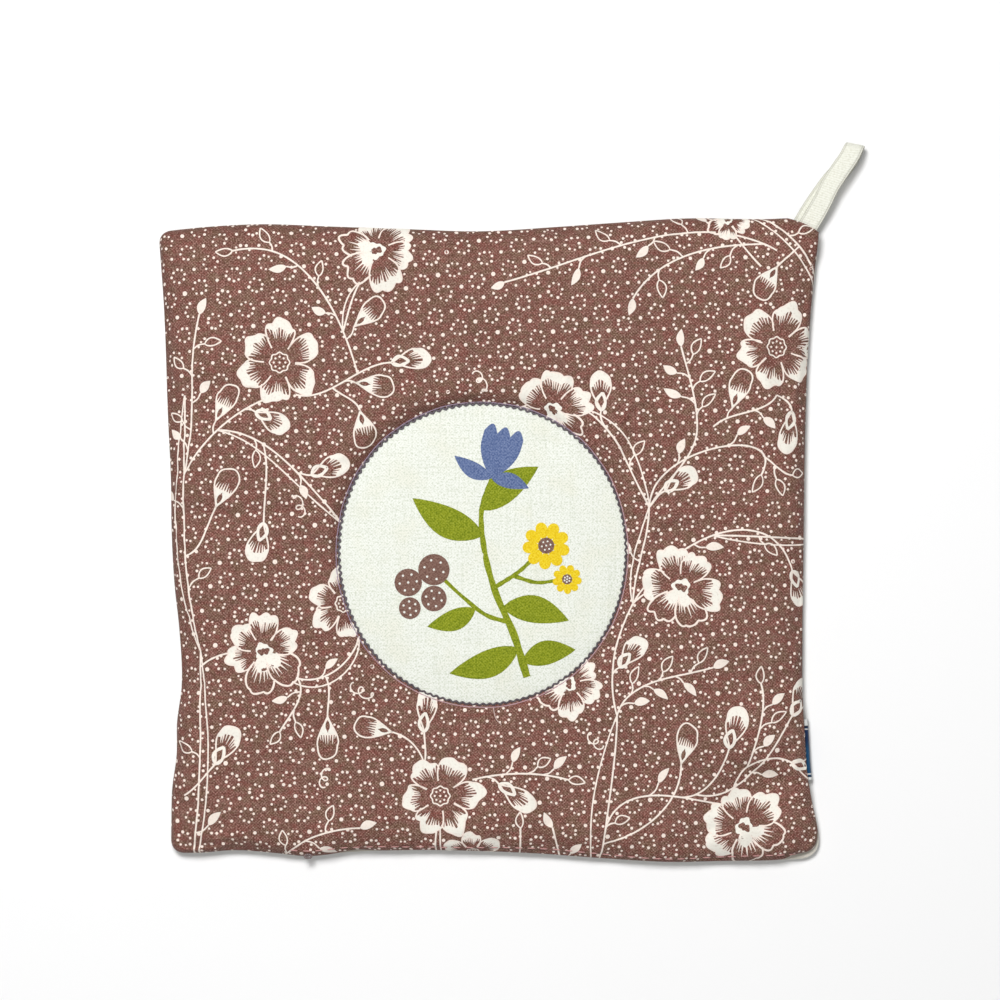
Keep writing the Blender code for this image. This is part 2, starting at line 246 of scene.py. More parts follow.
class Wire:
    """An output socket of a material. Arithmetic on it adds Math nodes, and `node` adds any other."""

    def __init__(self, tree, socket=None):
        self.tree, self.socket = tree, socket

    def node(self, kind, settings=None, sockets=None, output=0):
        """Adds a node: first its settings, then values or wires for its sockets; gives one output."""
        made = self.tree.nodes.new("ShaderNode" + kind)
        for name, value in (settings or {}).items():
            setattr(made, name, value)
        for name, value in (sockets or {}).items():
            if isinstance(value, Wire):
                self.tree.links.new(value.socket, made.inputs[name])
            else:
                made.inputs[name].default_value = value
        return Wire(self.tree, made.outputs[output])

    def math(self, operation, *values):
        """A Math node on the values, or on this wire alone."""
        return self.node("Math", {"operation": operation}, dict(enumerate(values or (self,))))

    def __add__(self, other):
        return self.math("ADD", self, other)

    def __sub__(self, other):
        return self.math("SUBTRACT", self, other)

    def __rsub__(self, other):
        return self.math("SUBTRACT", other, self)

    def __mul__(self, other):
        return self.math("MULTIPLY", self, other)

    __radd__ = __add__
    __rmul__ = __mul__

    def between(self, low, high):
        """0 below low, 1 above high, and a smooth rise between."""
        return self.node("MapRange", {"interpolation_type": "SMOOTHSTEP"},
                         {"Value": self, "From Min": low, "From Max": high})

    def mix(self, other, share):
        """This colour, turned into the other one by `share`."""
        return self.node("Mix", {"data_type": "RGBA"},
                         {"Factor": share, 6: self, 7: other}, output=2)

    def stretched(self, x, y, z=1.0):
        """This vector, each part of it multiplied."""
        return self.node("VectorMath", {"operation": "MULTIPLY"}, {0: self, 1: (x, y, z)})

    def parts(self):
        """The vector's x and y."""
        made = self.node("SeparateXYZ", None, {0: self})
        return made, Wire(self.tree, made.socket.node.outputs[1])

    def noise(self, scale, detail=2.0, roughness=0.5):
        """Cloudy noise, 0 to 1, with features about 1 / scale metres across."""
        return self.node("TexNoise", None, {"Vector": self, "Scale": scale, "Detail": detail,
                                            "Roughness": roughness})


def paint(red, green, blue):
    """The colour of a surface that should look like these display values, 0 to 255, in this light."""
    share = np.array((red, green, blue)) / 255
    linear = np.where(share > 0.04045, ((share + 0.055) / 1.055) ** 2.4, share / 12.92)
    return tuple(float(value) for value in linear / LIGHT)


def palette(wire, *colours):
    """A wire for each colour, given by its display values."""
    tones = [wire.node("RGB") for _ in colours]
    for tone, colour in zip(tones, colours):
        tone.socket.default_value = (*paint(*colour), 1.0)
    return tones


def new_material(name, roughness, sheen=0.0):
    """A plain surface, a wire from which its pattern is built, and the wire of the place on the flat
    cloth that give_cloth stored."""
    material = bpy.data.materials.new(name)
    material.use_nodes = True
    surface = material.node_tree.nodes["Principled BSDF"]
    surface.inputs["Roughness"].default_value = roughness
    surface.inputs["Sheen Weight"].default_value = sheen
    surface.inputs["Sheen Roughness"].default_value = 0.5
    surface.inputs["Specular IOR Level"].default_value = 0.25
    wire = Wire(material.node_tree)
    return material, wire, wire.node("Attribute", {"attribute_name": "cloth"}, output=1)


def finish_with(material, colour, height, deep):
    """Links the colour, and a height of `deep` millimetres as bump."""
    tree = material.node_tree
    sockets = tree.nodes["Principled BSDF"].inputs
    bump = height.node("Bump", None, {"Height": height, "Distance": deep * MM})
    tree.links.new(colour.socket, sockets["Base Color"])
    tree.links.new(bump.socket, sockets["Normal"])
    return material


print("a warm brown in linear light:", [round(x, 3) for x in paint(128, 94, 83)])

# %% [markdown]
# ## Plain weave
# Cotton like this is woven over one, under one. Seen close, each warp thread is a row of small humps
# where it passes over a weft thread, and the humps of the next warp thread sit half a step further on.
# So the height of the warp is a rounded ridge across the thread times a wave along it whose sign
# changes from thread to thread, the weft is the same turned by a right angle, and the weave is the
# higher of the two. Real yarn is thick and thin, which a noise stretched along each yarn adds.
# %% Weave


def plain_weave(cloth, pitch):
    """Height of a plain weave, 0 to 1; its thick and thin yarns, about -1 to 1; 1 where the warp is
    above the weft; and a random number, 0 to 1, for each crossing of two threads, because no two humps
    of yarn take the dye alike. `pitch` is the distance between neighbouring threads in millimetres, and
    the threads wander by up to `wander` of it."""
    per_metre, wander = 1 / (pitch * MM), 0.8
    x, y = cloth.stretched(per_metre, per_metre).parts()
    x, y = x + wander * cloth.noise(180.0, 1.0), y + wander * cloth.noise(230.0, 1.0)

    def threads(across, along, shift):
        ridge = (across * math.pi).math("SINE").math("ABSOLUTE")
        number = across.math("FLOOR")
        over = ((along + number + shift) * math.pi).math("COSINE") * 0.5 + 0.5
        return ridge * over

    lengthways, crossways = threads(x, y, -0.5), threads(y, x, 0.5)
    height = cloth.math("MAXIMUM", lengthways, crossways)
    warp = cloth.stretched(per_metre * 0.7, per_metre * 0.02).noise(1.0, 1.0)
    weft = cloth.stretched(per_metre * 0.02, per_metre * 0.7).noise(1.0, 1.0)
    cell = x.node("CombineXYZ", None, {"X": x.math("FLOOR"), "Y": y.math("FLOOR")})
    crossing = cell.node("TexWhiteNoise", {"noise_dimensions": "3D"}, {"Vector": cell})
    return height, warp + weft - 1.0, (lengthways - crossways).between(-0.25, 0.25), crossing


COVER_PITCH, LINEN_PITCH, BACK_PITCH = 0.5, 0.5, 0.45      # millimetres between threads

# %% Materials of the cover


def cover_height(cloth):
    """The weave, its uneven yarns and a little crumple as a height, and the weave's other values."""
    weave, yarn, over, crossing = plain_weave(cloth, COVER_PITCH)
    return weave * 0.55 + yarn * 0.5 + cloth.noise(900.0, 2.0) * 0.5, yarn, over, crossing


def cover_ground():
    """Brown dyed cotton: each yarn took the dye a little differently, so it is heathered in dark,
    reddish and greenish brown, in specks as wide as a thread, in streaks along yarns and in wider
    clouds."""
    material, wire, cloth = new_material("brown_printed_cotton", 0.88, 0.05)
    height, yarn, over, crossing = cover_height(cloth)
    brown, dark, red, green, pale = palette(wire, (144, 102, 90), (88, 52, 42), (160, 88, 80),
                                            (134, 112, 84), (206, 170, 156))
    specks = cloth.noise(1900.0, 2.0, 0.75)
    slubs = cloth.stretched(0.6, 1.0, 1.0).noise(520.0, 2.0, 0.6)
    clouds = cloth.noise(170.0, 2.0)
    colour = brown.mix(red, clouds.between(0.48, 0.64) * 0.5)
    colour = colour.mix(green, (1.0 - clouds).between(0.5, 0.64) * 0.5)
    colour = colour.mix(red, slubs.between(0.5, 0.64) * 0.6)
    colour = colour.mix(green, (1.0 - slubs).between(0.5, 0.64) * 0.6)
    colour = colour.mix(dark, (0.5 - specks).between(0.01, 0.11) * 0.9)
    colour = colour.mix(pale, (specks - 0.5).between(0.02, 0.13) * 0.7)
    colour = colour.mix(dark, (0.5 - crossing).between(-0.1, 0.5) * 0.36)
    colour = colour.mix(pale, (crossing - 0.5).between(0.0, 0.5) * 0.2)
    colour = colour.mix(dark, over * 0.66)
    colour = colour.mix(pale, (yarn * 1.6).between(0.25, 0.9) * 0.4)
    # painted shade: the stored number darkens the brown at the north seam and north-west of the window
    deep = wire.node("Attribute", {"attribute_name": "painted_shade"}, output=2)
    return finish_with(material, colour.mix(dark, deep), height, 0.09)


def cover_print():
    """The cream print: pinker in lines and dots, where the brown bleeds in, and worn where yarns are
    thin."""
    material, wire, cloth = new_material("cream_print", 0.85, 0.05)
    height, yarn, _, _ = cover_height(cloth)
    cream, pink, worn = palette(wire, (251, 247, 236), (255, 239, 227), (214, 196, 182))
    thin = wire.node("Attribute", {"attribute_name": "thin"}, output=2)
    wear = cloth.noise(1300.0, 2.0, 0.6).between(0.48, 0.75) * 0.36 + (yarn * 1.5).between(0.2, 1.0) * 0.2
    return finish_with(material, cream.mix(pink, thin).mix(worn, wear), height, 0.06)


brown_cotton, print_cream = cover_ground(), cover_print()
print("the brown cotton has", len(brown_cotton.node_tree.nodes), "nodes")

# %% [markdown]
# ## The pad's outline
# The pad was cut by hand and pulled in where it was sewn, so each side is a straight chord with small
# bulges, and the four corners are rounded by quadratic curves. The window is a circle with a few
# slow waves. Everything between them is measured by two numbers: the direction from the window's
# centre, and the share of the way from the window (0) to the seam (1).
# %% Seam and window, in millimetres
Corner = namedtuple("Corner", "x y before after round")
CORNERS = {
    "bottom_left": Corner(-99.2, -98.0, 4.5, 4.5, 1.0),
    "bottom_right": Corner(103.6, -99.3, 6.0, 6.0, 1.0),
    "top_right": Corner(103.4, 100.3, 4.6, 10.0, 0.3),
    "top_left": Corner(-103.1, 95.8, 4.0, 4.0, 1.0),
}
SIDE_BULGES = {
    "bottom": ((0.0, 0.0), (0.04, 0.0), (0.10, -0.9), (0.16, -0.1), (0.21, 0.8), (0.27, -0.4), (0.35, -1.2),
               (0.48, -1.1), (0.56, -0.5), (0.66, 0.8), (0.77, 1.9), (0.85, 1.5), (0.94, 1.1), (1.0, 0.3)),
    "right": ((0.0, 0.0), (0.04, -0.5), (0.08, -2.2), (0.13, -4.0), (0.19, -4.8), (0.25, -5.4),
              (0.33, -5.4), (0.50, -5.0), (0.68, -4.4), (0.80, -3.5), (0.88, -2.2), (0.96, -0.6),
              (1.0, 0.0)),
    "top": ((0.0, 0.0), (0.10, 0.1), (0.20, 0.8), (0.30, 0.0), (0.39, -0.9), (0.52, -1.8), (0.62, -0.7),
            (0.74, 0.7), (0.85, 1.9), (0.92, 1.5), (1.0, 0.2)),
    "left": ((0.0, 0.0), (0.12, -1.2), (0.30, -1.8), (0.40, -2.3), (0.48, -2.2), (0.57, -2.8), (0.64, -4.0),
             (0.735, -4.3), (0.79, -2.7), (0.84, -2.4), (0.90, -0.7), (0.95, -0.3), (1.0, 0.0)),
}
SIDES = (("bottom", "bottom_left", "bottom_right"), ("right", "bottom_right", "top_right"),
         ("top", "top_right", "top_left"), ("left", "top_left", "bottom_left"))
SIDE_STEPS, CORNER_STEPS = 166, 14
CENTRE = np.array((-2.2, -5.0))
WINDOW_R = 46.05
WINDOW_WAVES = ((1, 0.3, 0.5), (2, -1.05, 0.0), (3, 0.0, 0.15), (4, -0.2, 0.0))    # times, right, up


def side_run(name, start, end):
    """One side: the chord between its corners, moved outwards by the bulge at each place."""
    first, last = CORNERS[start], CORNERS[end]
    begin = np.array((first.x, first.y))
    chord = np.array((last.x, last.y)) - begin
    length = np.hypot(*chord)
    outward = np.array((chord[1], -chord[0])) / length
    along = np.linspace(first.after / length, 1 - last.before / length, SIDE_STEPS)
    place, bulge = np.array(SIDE_BULGES[name]).T
    return begin + along[:, None] * chord + smooth_rows(place, bulge, along)[:, None] * outward


def seam_line():
    """All four sides anticlockwise, joined by quadratic curves, more or less round."""
    runs = [side_run(*side) for side in SIDES]
    pieces = []
    for index, (_, _, end) in enumerate(SIDES):
        run, following = runs[index], runs[(index + 1) % 4]
        corner = np.array((CORNERS[end].x, CORNERS[end].y))
        corner = CORNERS[end].round * corner + (1 - CORNERS[end].round) * (run[-1] + following[0]) / 2
        u = (np.arange(1, CORNER_STEPS) / CORNER_STEPS)[:, None]
        pieces += [run, (1 - u) ** 2 * run[-1] + 2 * u * (1 - u) * corner + u * u * following[0]]
    return np.vstack(pieces)


def window_radius(turn):
    """The window's radius in each direction: a circle and its waves."""
    return WINDOW_R + sum(right * np.cos(times * turn) + up * np.sin(times * turn)
                          for times, right, up in WINDOW_WAVES)


seam = seam_line()
seam_radius = np.hypot(*(seam - CENTRE).T)
turn = np.unwrap(np.arctan2(*(seam - CENTRE).T[::-1]))
spoke = directions(turn)
window = window_radius(turn)
reach = seam_radius - window
COLUMNS = len(seam)
seam_place = chord_places(np.vstack((seam, seam[:1])))
print("seam:", COLUMNS, "points,", round(seam_place[-1]), "mm round; from window to seam",
      round(reach.min(), 1), "to", round(reach.max(), 1), "mm")

# %% [markdown]
# ## Height of the front
# From the seam the front rises in a quarter of an ellipse to its crown. Towards the window it sinks
# again into the sewn channel. A few folds, found as soft elliptical troughs and ridges, lie over
# that, and where the loop and the label are sewn in, the edge is lifted off the back. Small things
# make it cloth: puckers that fade out from the seam and from the zigzag, and a slow unevenness
# of the filling.
# %% Shape of the front, in millimetres
CROWN, BACK_THICK, RIM_RISE, RIM_THICK, GAP = 9.6, 1.2, 1.4, 0.5, 0.3
ROLL_SHARE, MARGIN_SHARE = 0.27, 0.17
CHANNEL_DEPTH, CHANNEL_REACH = 2.8, 15.0
BACK_CHANNEL_DEPTH, BACK_CHANNEL_REACH = 0.5, 5.0
RIM = BACK_THICK + RIM_RISE + GAP + RIM_THICK
Peep = namedtuple("Peep", "x y reach spread")
PEEPS, PEEP_SHARE = (Peep(99.0, -98.0, 2.1, 5.2), Peep(-41.0, -98.5, 0.7, 5.0)), 0.04
SEAM_PUCKER, RING_PUCKER = 0.34, 0.22
SLOW_LUMP, FINE_LUMP = 0.22, 0.07
NORTH, STEEP_LEAST, STEEP_MORE, STEEP_REACH = math.radians(105), 0.3, 0.6, 3.4
BROW_HIGH, BROW_AT, BROW_REACH = 1.2, 5.0, 4.0

Fold = namedtuple("Fold", "x y heading half_length half_width depth")
FOLDS = (
    Fold(85.0, -79.0, -15.0, 17.0, 8.5, 3.8), Fold(85.0, -73.0, -14.0, 12.0, 1.6, 0.45),
    Fold(78.0, -60.0, -12.0, 17.0, 5.0, -0.5),
    Fold(-21.0, 69.0, -75.0, 24.0, 5.0, 0.9),
    Fold(-2.5, 56.0, 90.0, 12.0, 4.5, 0.7), Fold(-3.0, 92.0, 90.0, 7.0, 9.0, 0.7),
    Fold(-80.0, 7.5, 2.0, 16.0, 4.5, 0.6), Fold(66.0, 19.0, 8.0, 17.0, 6.0, 0.5),
    Fold(-7.5, -66.0, -52.0, 14.0, 5.0, 0.6),
)
Tuck = namedtuple("Tuck", "x y heading half_width blend depth lift")
TUCKS = (Tuck(98.9, 98.4, 57.3, 6.4, 4.5, 5.0, 2.9), Tuck(99.8, -65.6, -4.0, 12.5, 5.0, 3.4, 1.6))


def fold_depth(x, y):
    """Sum of the folds: depth times a bell curve along and across each."""
    total = 0.0
    for fold in FOLDS:
        c, s = math.cos(math.radians(fold.heading)), math.sin(math.radians(fold.heading))
        along, across = (x - fold.x) * c + (y - fold.y) * s, (y - fold.y) * c - (x - fold.x) * s
        total = total + fold.depth * np.exp(-(along / fold.half_length) ** 2
                                            - (across / fold.half_width) ** 2)
    return total


def tuck_lift(x, y):
    """Sum of the lifts: full over each sewn-in piece, with a soft step beside it and inside it."""
    total = 0.0
    for tuck in TUCKS:
        c, s = math.cos(math.radians(tuck.heading)), math.sin(math.radians(tuck.heading))
        inward = -(x - tuck.x) * c - (y - tuck.y) * s
        across = np.abs((y - tuck.y) * c - (x - tuck.x) * s)
        total = total + (tuck.lift * (1 - smooth_step((across - tuck.half_width) / tuck.blend))
                         * (1 - smooth_step((inward - tuck.depth) / tuck.blend)))
    return total


def drawn_in():
    """How far the front is drawn back from the seam, along each spoke, where the back peeps out."""
    along = np.roll(seam, -1, axis=0) - np.roll(seam, 1, axis=0)
    total = sum(peep.reach * np.exp(-np.sum((seam - (peep.x, peep.y)) ** 2, axis=1) / peep.spread ** 2)
                for peep in PEEPS)
    return total / np.sum(-left_of(along) * spoke, axis=1)


peep = drawn_in()


def front_places(share):
    """Top view of the front at shares (rings, columns): along the spoke, drawn in near the seam."""
    near_seam = np.clip((share - 1 + PEEP_SHARE) / PEEP_SHARE, 0.0, 1.0)
    radius = window + share * reach - near_seam * peep
    return radius, CENTRE[0] + radius * spoke[:, 0], CENTRE[1] + radius * spoke[:, 1]


def small_relief(share, x, y):
    """Puckers along the seam and round the window, and the slow unevenness of the filling."""
    from_seam, from_window = (1 - share) * reach, share * reach
    along_seam, along_ring = seam_place[:-1], turn * WINDOW_R
    seam_waves = waves(3, along_seam, 0.0, 5.0, 13.0) + 0.6 * waves(4, along_seam, 0.0, 14.0, 40.0)
    ring_waves = waves(5, along_ring, 0.0, 4.5, 11.0)
    at_seam = SEAM_PUCKER * seam_waves * smooth_step(from_seam / 1.5) * np.exp(-(from_seam / 7.0) ** 2)
    at_ring = RING_PUCKER * ring_waves * smooth_step(from_window) * np.exp(-(from_window / 6.0) ** 2)
    filling = SLOW_LUMP * waves(6, x, y, 16.0, 45.0) + FINE_LUMP * waves(7, x, y, 5.0, 12.0)
    fade = smooth_step(from_seam / 5.0) * smooth_step(from_window / 5.0)
    return at_seam + at_ring + filling * fade


def front_surface(share, detail=1.0):
    """The front over the top view: roll, channel, tucks, folds and small relief. The channel dives
    more steeply in the north, where a low brow stands before it."""
    radius, x, y = front_places(share)
    inner = np.minimum((1 - share) / ROLL_SHARE, 1.0)
    roll = np.sqrt(1 - (1 - inner) ** 2)
    near_window = np.clip(1 - share * reach / CHANNEL_REACH, 0.0, 1.0)
    northern = (0.5 + 0.5 * np.cos(turn - NORTH)) ** 1.5
    steep = STEEP_LEAST + STEEP_MORE * northern
    dive = (1 - steep) * near_window ** 2 + steep * np.exp(-share * reach / STEEP_REACH)
    brow = BROW_HIGH * northern * np.exp(-((share * reach - BROW_AT) / BROW_REACH) ** 2)
    height = RIM + (CROWN - RIM) * roll - CHANNEL_DEPTH * dive
    height = height + brow * roll * smooth_step(share * reach / 3.0)
    height = height + tuck_lift(x, y) * (1 - roll) - fold_depth(x, y) * roll
    return radius, np.stack((x, y, height + detail * small_relief(share, x, y)), axis=-1)


print("highest fold ridge", round(float(-min(fold.depth for fold in FOLDS)), 1), "mm")

# %% [markdown]
# ## Letting the cloth settle
# A sewn cover is a little longer than the way it has to go, so it buckles into shallow wrinkles. They
# are hard to invent and easy to simulate: a coarse copy of the front is pinned along the seam and
# the window, grown by two parts in a hundred, and inflated softly without gravity. What it rises and
# falls against its start is what we keep, with a cap, and smooth curves lay it over the fine surface.
# %% Cloth simulation
SIM_RINGS, SIM_COLUMNS, SIM_FRAMES = 36, 240, 20
SIM_GROW, SIM_PRESSURE, SIM_CAP = 0.02, 3.0, 0.9


def settle(start):
    """Rise of each point (rings, columns) after the cloth has settled, in millimetres."""
    rings, columns = start.shape[:2]
    mesh = make_mesh("settling", start.reshape(-1, 3), grid_faces(rings, columns, wrap=True))
    cloth = bpy.data.objects.new("settling", mesh)
    bpy.context.scene.collection.objects.link(cloth)
    pins = cloth.vertex_groups.new(name="pins")
    edge = np.concatenate((np.arange(columns), np.arange(columns) + (rings - 1) * columns))
    pins.add(edge.tolist(), 1.0, "REPLACE")
    modifier = cloth.modifiers.new("cloth", "CLOTH")
    settings = modifier.settings
    settings.quality, settings.mass = 6, 0.25
    settings.tension_stiffness = settings.compression_stiffness = 18.0
    settings.shear_stiffness, settings.bending_stiffness = 8.0, 0.4
    settings.vertex_group_mass, settings.shrink_min = "pins", -SIM_GROW
    settings.use_pressure, settings.uniform_pressure_force = True, SIM_PRESSURE
    settings.effector_weights.gravity = 0.0
    modifier.collision_settings.use_collision = False
    scene = bpy.context.scene
    for number in range(1, SIM_FRAMES + 1):
        scene.frame_set(number)
    settled = cloth.evaluated_get(bpy.context.evaluated_depsgraph_get())
    after = np.empty(rings * columns * 3, np.float32)
    settled.data.vertices.foreach_get("co", after)
    scene.frame_set(1)
    bpy.data.objects.remove(cloth)
    return after.reshape(rings, columns, 3)[..., 2] / MM - start[..., 2]


def settled_relief(shares):
    """The simulated rise at every fine ring and column, without its slow swell, capped."""
    coarse = np.linspace(0.0, 1.0, SIM_RINGS)
    coarse = coarse - 0.35 * np.sin(math.tau * coarse) / math.tau
    picked = np.round(np.linspace(0, COLUMNS, SIM_COLUMNS, endpoint=False)).astype(int)
    start = front_surface(coarse[:, None] * np.ones(COLUMNS), 0.5)[1][:, picked]
    rise = settle(start)
    swell = np.mean(rise, axis=1, keepdims=True)
    rise = SIM_CAP * np.tanh((rise - swell) / SIM_CAP)
    fine = smooth_rows(coarse, rise, shares)
    around = np.concatenate((picked[-2:] - COLUMNS, picked, picked[:2] + COLUMNS))
    rows = np.concatenate((fine[:, -2:], fine, fine[:, :2]), axis=1).T
    print("settled cloth rises and falls", round(float(np.abs(rise).max()), 2), "mm at most")
    return smooth_rows(around, rows, np.arange(COLUMNS)).T


# %% The front's fine grid
PLATEAU_RINGS, ROLL_RINGS = 70, 34
quarter = np.linspace(math.pi / 2, 0.0, ROLL_RINGS + 1)[1:]
shares = np.concatenate((np.linspace(0.0, 1 - ROLL_SHARE, PLATEAU_RINGS),
                         1 - ROLL_SHARE * (1 - np.cos(quarter))))
share_grid = shares[:, None] * np.ones(COLUMNS)
front_radius, front_points = front_surface(share_grid)
front_points[..., 2] += settled_relief(shares)
print("front grid", front_points.shape, "from", round(float(front_points[..., 2].min()), 2),
      "to", round(float(front_points[..., 2].max()), 2), "mm high")

# %% [markdown]
# ## Cloth that knows where it lies
# A print is made on flat cloth. To lay flat shapes on the curved front, each point's direction gives
# its place between the spokes, and its distance gives its place between the rings, found in a table.
# The table can hold distances in the top view, or distances along the cloth, which run further
# because the cloth rolls down at the seam. A point then takes its height from the triangle it is in,
# and rises along the surface's normal by the thickness of the ink.
# %% Laying flat shapes on cloth


def grid_normals(points):
    """Unit normals of a grid of rings: the cross product of its two directions."""
    outward = np.gradient(points, axis=0)
    around = np.roll(points, -1, axis=1) - np.roll(points, 1, axis=1)
    normal = np.cross(outward, around)
    return normal / np.linalg.norm(normal, axis=2)[..., None]


class Cloth:
    """A surface of rings and spokes round CENTRE, with its flat cloth coordinates."""

    def __init__(self, turn, radius, points, flat_ring):
        self.turn, self.radius, self.points = turn, radius, points
        run = np.concatenate((np.zeros((1, len(turn))),
                              np.cumsum(np.linalg.norm(np.diff(points, axis=0), axis=2), axis=0)))
        self.run = run - run[flat_ring] + radius[flat_ring]
        self.normals = grid_normals(points)

    def flat(self):
        """Cloth coordinates of every grid point."""
        return CENTRE + self.run[..., None] * directions(self.turn)

    def lay(self, xy, lift=0.0, along_cloth=False):
        """Points on the cloth, their cloth coordinates and whether they are inside its edges."""
        away = xy - CENTRE
        distance = np.hypot(*away.T)
        angle = np.arctan2(away[:, 1], away[:, 0])
        angle = self.turn[0] + np.mod(angle - self.turn[0], math.tau)
        columns = len(self.turn)
        place = np.interp(angle, np.append(self.turn, self.turn[0] + math.tau), np.arange(columns + 1))
        j = np.minimum(place.astype(int), columns - 1)
        b = place - j
        k = (j + 1) % columns
        table = self.run if along_cloth else self.radius
        ladder = (1 - b) * table[:, j] + b * table[:, k]
        i = np.clip(np.sum(ladder <= distance, axis=0) - 1, 0, len(table) - 2)
        pick = np.arange(len(xy))
        low, high = ladder[i, pick], ladder[i + 1, pick]
        a = np.clip((distance - low) / np.maximum(high - low, 1e-9), 0.0, 1.0)
        inside = (distance >= ladder[0]) & (distance <= ladder[-1])

        def blend(grid):
            c00, c10, c11, c01 = grid[i, j], grid[i + 1, j], grid[i + 1, k], grid[i, k]
            first = c00 + a[:, None] * (c10 - c00) + b[:, None] * (c11 - c10)
            second = c00 + b[:, None] * (c01 - c00) + a[:, None] * (c11 - c01)
            return np.where((a >= b)[:, None], first, second)

        points = blend(self.points) + lift * blend(self.normals)
        return points, CENTRE + blend(self.run[..., None]) * directions(angle), inside


FLAT_RING = 52          # ring on the plateau where the cloth lies flat
front = Cloth(turn, front_radius, front_points, FLAT_RING)
extra = float((front.run[-1] - front.radius[-1]).max())
print("cloth runs up to", round(extra, 1), "mm further than the top view shows")

# %% [markdown]
# ## The front cover
# The cover and its filling are one closed body: a hidden floor under the linen disc, the window's cut
# edge, the grid above, the rim at the seam, and an underside. Rings are simply stacked in that
# order, and a fan closes each end.
# %% Front cover
MEDALLION_SET, MEDALLION_CROWN = 0.45, 2.2
UNDER_LOW = 0.22        # the cloth's rim reaches down this far towards the back cover
FLOOR_SET, FLOOR_DOME, EDGE_DROP, RIM_DROP = 1.3, 1.6, 0.7, 0.3
FLOOR_SHARES = (0.35, 0.7, 0.9, 0.97)
UNDER_SHARES = (0.998, 0.985, 0.96, 0.92, 0.83, 0.6, 0.3, 0.08, 0.0)


def ring_at(radius, height):
    """One ring of points: a radius and a height for each spoke."""
    radius, height = radius * np.ones(COLUMNS), height * np.ones(COLUMNS)
    return np.column_stack((CENTRE + radius[:, None] * spoke, height))


def under_ring(share):
    """The underside at a share: clear of the back cover and of what is sewn in."""
    radius, x, y = front_places(share * np.ones(COLUMNS))
    outer = max((share - 1 + MARGIN_SHARE) / MARGIN_SHARE, 0.0)
    near_window = np.clip(1 - share * reach / BACK_CHANNEL_REACH, 0.0, 1.0)
    height = (BACK_THICK + GAP + RIM_RISE * outer ** 2 + BACK_CHANNEL_DEPTH * near_window ** 2
              + tuck_lift(x, y) - UNDER_LOW * outer ** 4)
    return ring_at(radius, height)


floor_high = CROWN - CHANNEL_DEPTH - MEDALLION_SET - FLOOR_SET
inner_rings = [ring_at(share * window, floor_high + FLOOR_DOME * (1 - share ** 4))
               for share in FLOOR_SHARES]
edge = front_points[0].copy()
edge[:, 2] -= EDGE_DROP
inner_rings += [ring_at(window - 0.25, floor_high), edge]
rim = front_points[-1].copy()
rim[:, 2] -= RIM_DROP
under_rings = [under_ring(share) for share in UNDER_SHARES]
under_rings += [ring_at(share * window, BACK_THICK + GAP) for share in (0.85, 0.4)]
rings = np.concatenate((np.stack(inner_rings), front_points, rim[None], np.stack(under_rings)))
poles = np.array(((*CENTRE, floor_high + FLOOR_DOME), (*CENTRE, BACK_THICK + GAP)))
cover_mesh = skin("front_cover", rings, poles)

# %% Painted shade and the flat map of the cover
# Painted shade: the cover is darkened where the cloth turns in, at the north seam and north-west of the
# window, stored as a number on each point.
SEAM_PAINTED_SHADE, SEAM_PAINTED_SHADE_REACH, SEAM_PAINTED_SHADE_SIDE = 0.3, 4.0, math.radians(110)
RING_PAINTED_SHADE, RING_PAINTED_SHADE_REACH, RING_PAINTED_SHADE_SIDE = 0.42, 3.0, math.radians(120)
seam_side = 0.5 + 0.5 * np.cos(turn - SEAM_PAINTED_SHADE_SIDE)
ring_side = 0.5 + 0.5 * np.cos(turn - RING_PAINTED_SHADE_SIDE)
at_edge = SEAM_PAINTED_SHADE * np.exp(-((1 - share_grid) * reach / SEAM_PAINTED_SHADE_REACH) ** 2) * seam_side
at_ring = RING_PAINTED_SHADE * np.exp(-(share_grid * reach / RING_PAINTED_SHADE_REACH) ** 2) * ring_side ** 2
painted_shade = np.vstack((np.zeros((len(inner_rings), COLUMNS)), at_edge + at_ring, at_edge[-1:],
                      np.zeros((len(under_rings), COLUMNS)))).ravel()
give_number(cover_mesh, "painted_shade", np.append(painted_shade, (0.0, 0.0)))

flat = front.flat()
upper = np.concatenate((np.stack([ring[:, :2] for ring in inner_rings]), flat,
                        flat[-1:] + 0.3 * spoke[None])).reshape(-1, 2)
lower = np.stack([ring[:, :2] for ring in under_rings]).reshape(-1, 2)
give_cloth(cover_mesh, np.vstack((upper, lower, poles[:, :2])))
MAP_SPAN, MAP_SHARE, UNDER_SHARE = 226.0, 0.84, 0.14
upper_middle, lower_middle = 0.5 * MAP_SHARE, 1 - 0.5 * UNDER_SHARE - 0.01
upper_map = upper_middle + (upper - CENTRE) / MAP_SPAN * MAP_SHARE
lower_map = lower_middle + (lower - CENTRE) / MAP_SPAN * UNDER_SHARE
ends_map = np.array(((upper_middle, upper_middle), (lower_middle, lower_middle)))
give_map(cover_mesh, np.vstack((upper_map, lower_map, ends_map)))
front_cover = place_piece("front_cover", cover_mesh, brown_cotton, "front_panel", "front_panel")
print("map reaches", upper_map.min().round(3), "to", upper_map.max().round(3))

# %% [markdown]
# ## Drawing with ink
# The print is cream on brown: trailing vines with flowers, buds and leaves, and between them a regular
# ground of small rings of dots. It could be a mask in the material, but hundreds of curved shapes make
# a very slow shader and a blurred edge. Here each shape is a flat strip or patch worked out from
# a formula, laid on the cloth less than a tenth of a millimetre up, as ink lies. What is drawn first is
# in front: its outline hides whatever comes later, so petals overlap and vines run behind flowers.
# %% Ink
DOT_CORNERS, DISK_CORNERS = 8, 24


def turned(points, heading, origin=(0.0, 0.0)):
    """Points or a grid of them, turned by a heading in degrees and moved to an origin."""
    c, s = math.cos(math.radians(heading)), math.sin(math.radians(heading))
    return np.asarray(origin) + points @ np.array(((c, s), (-s, c)))


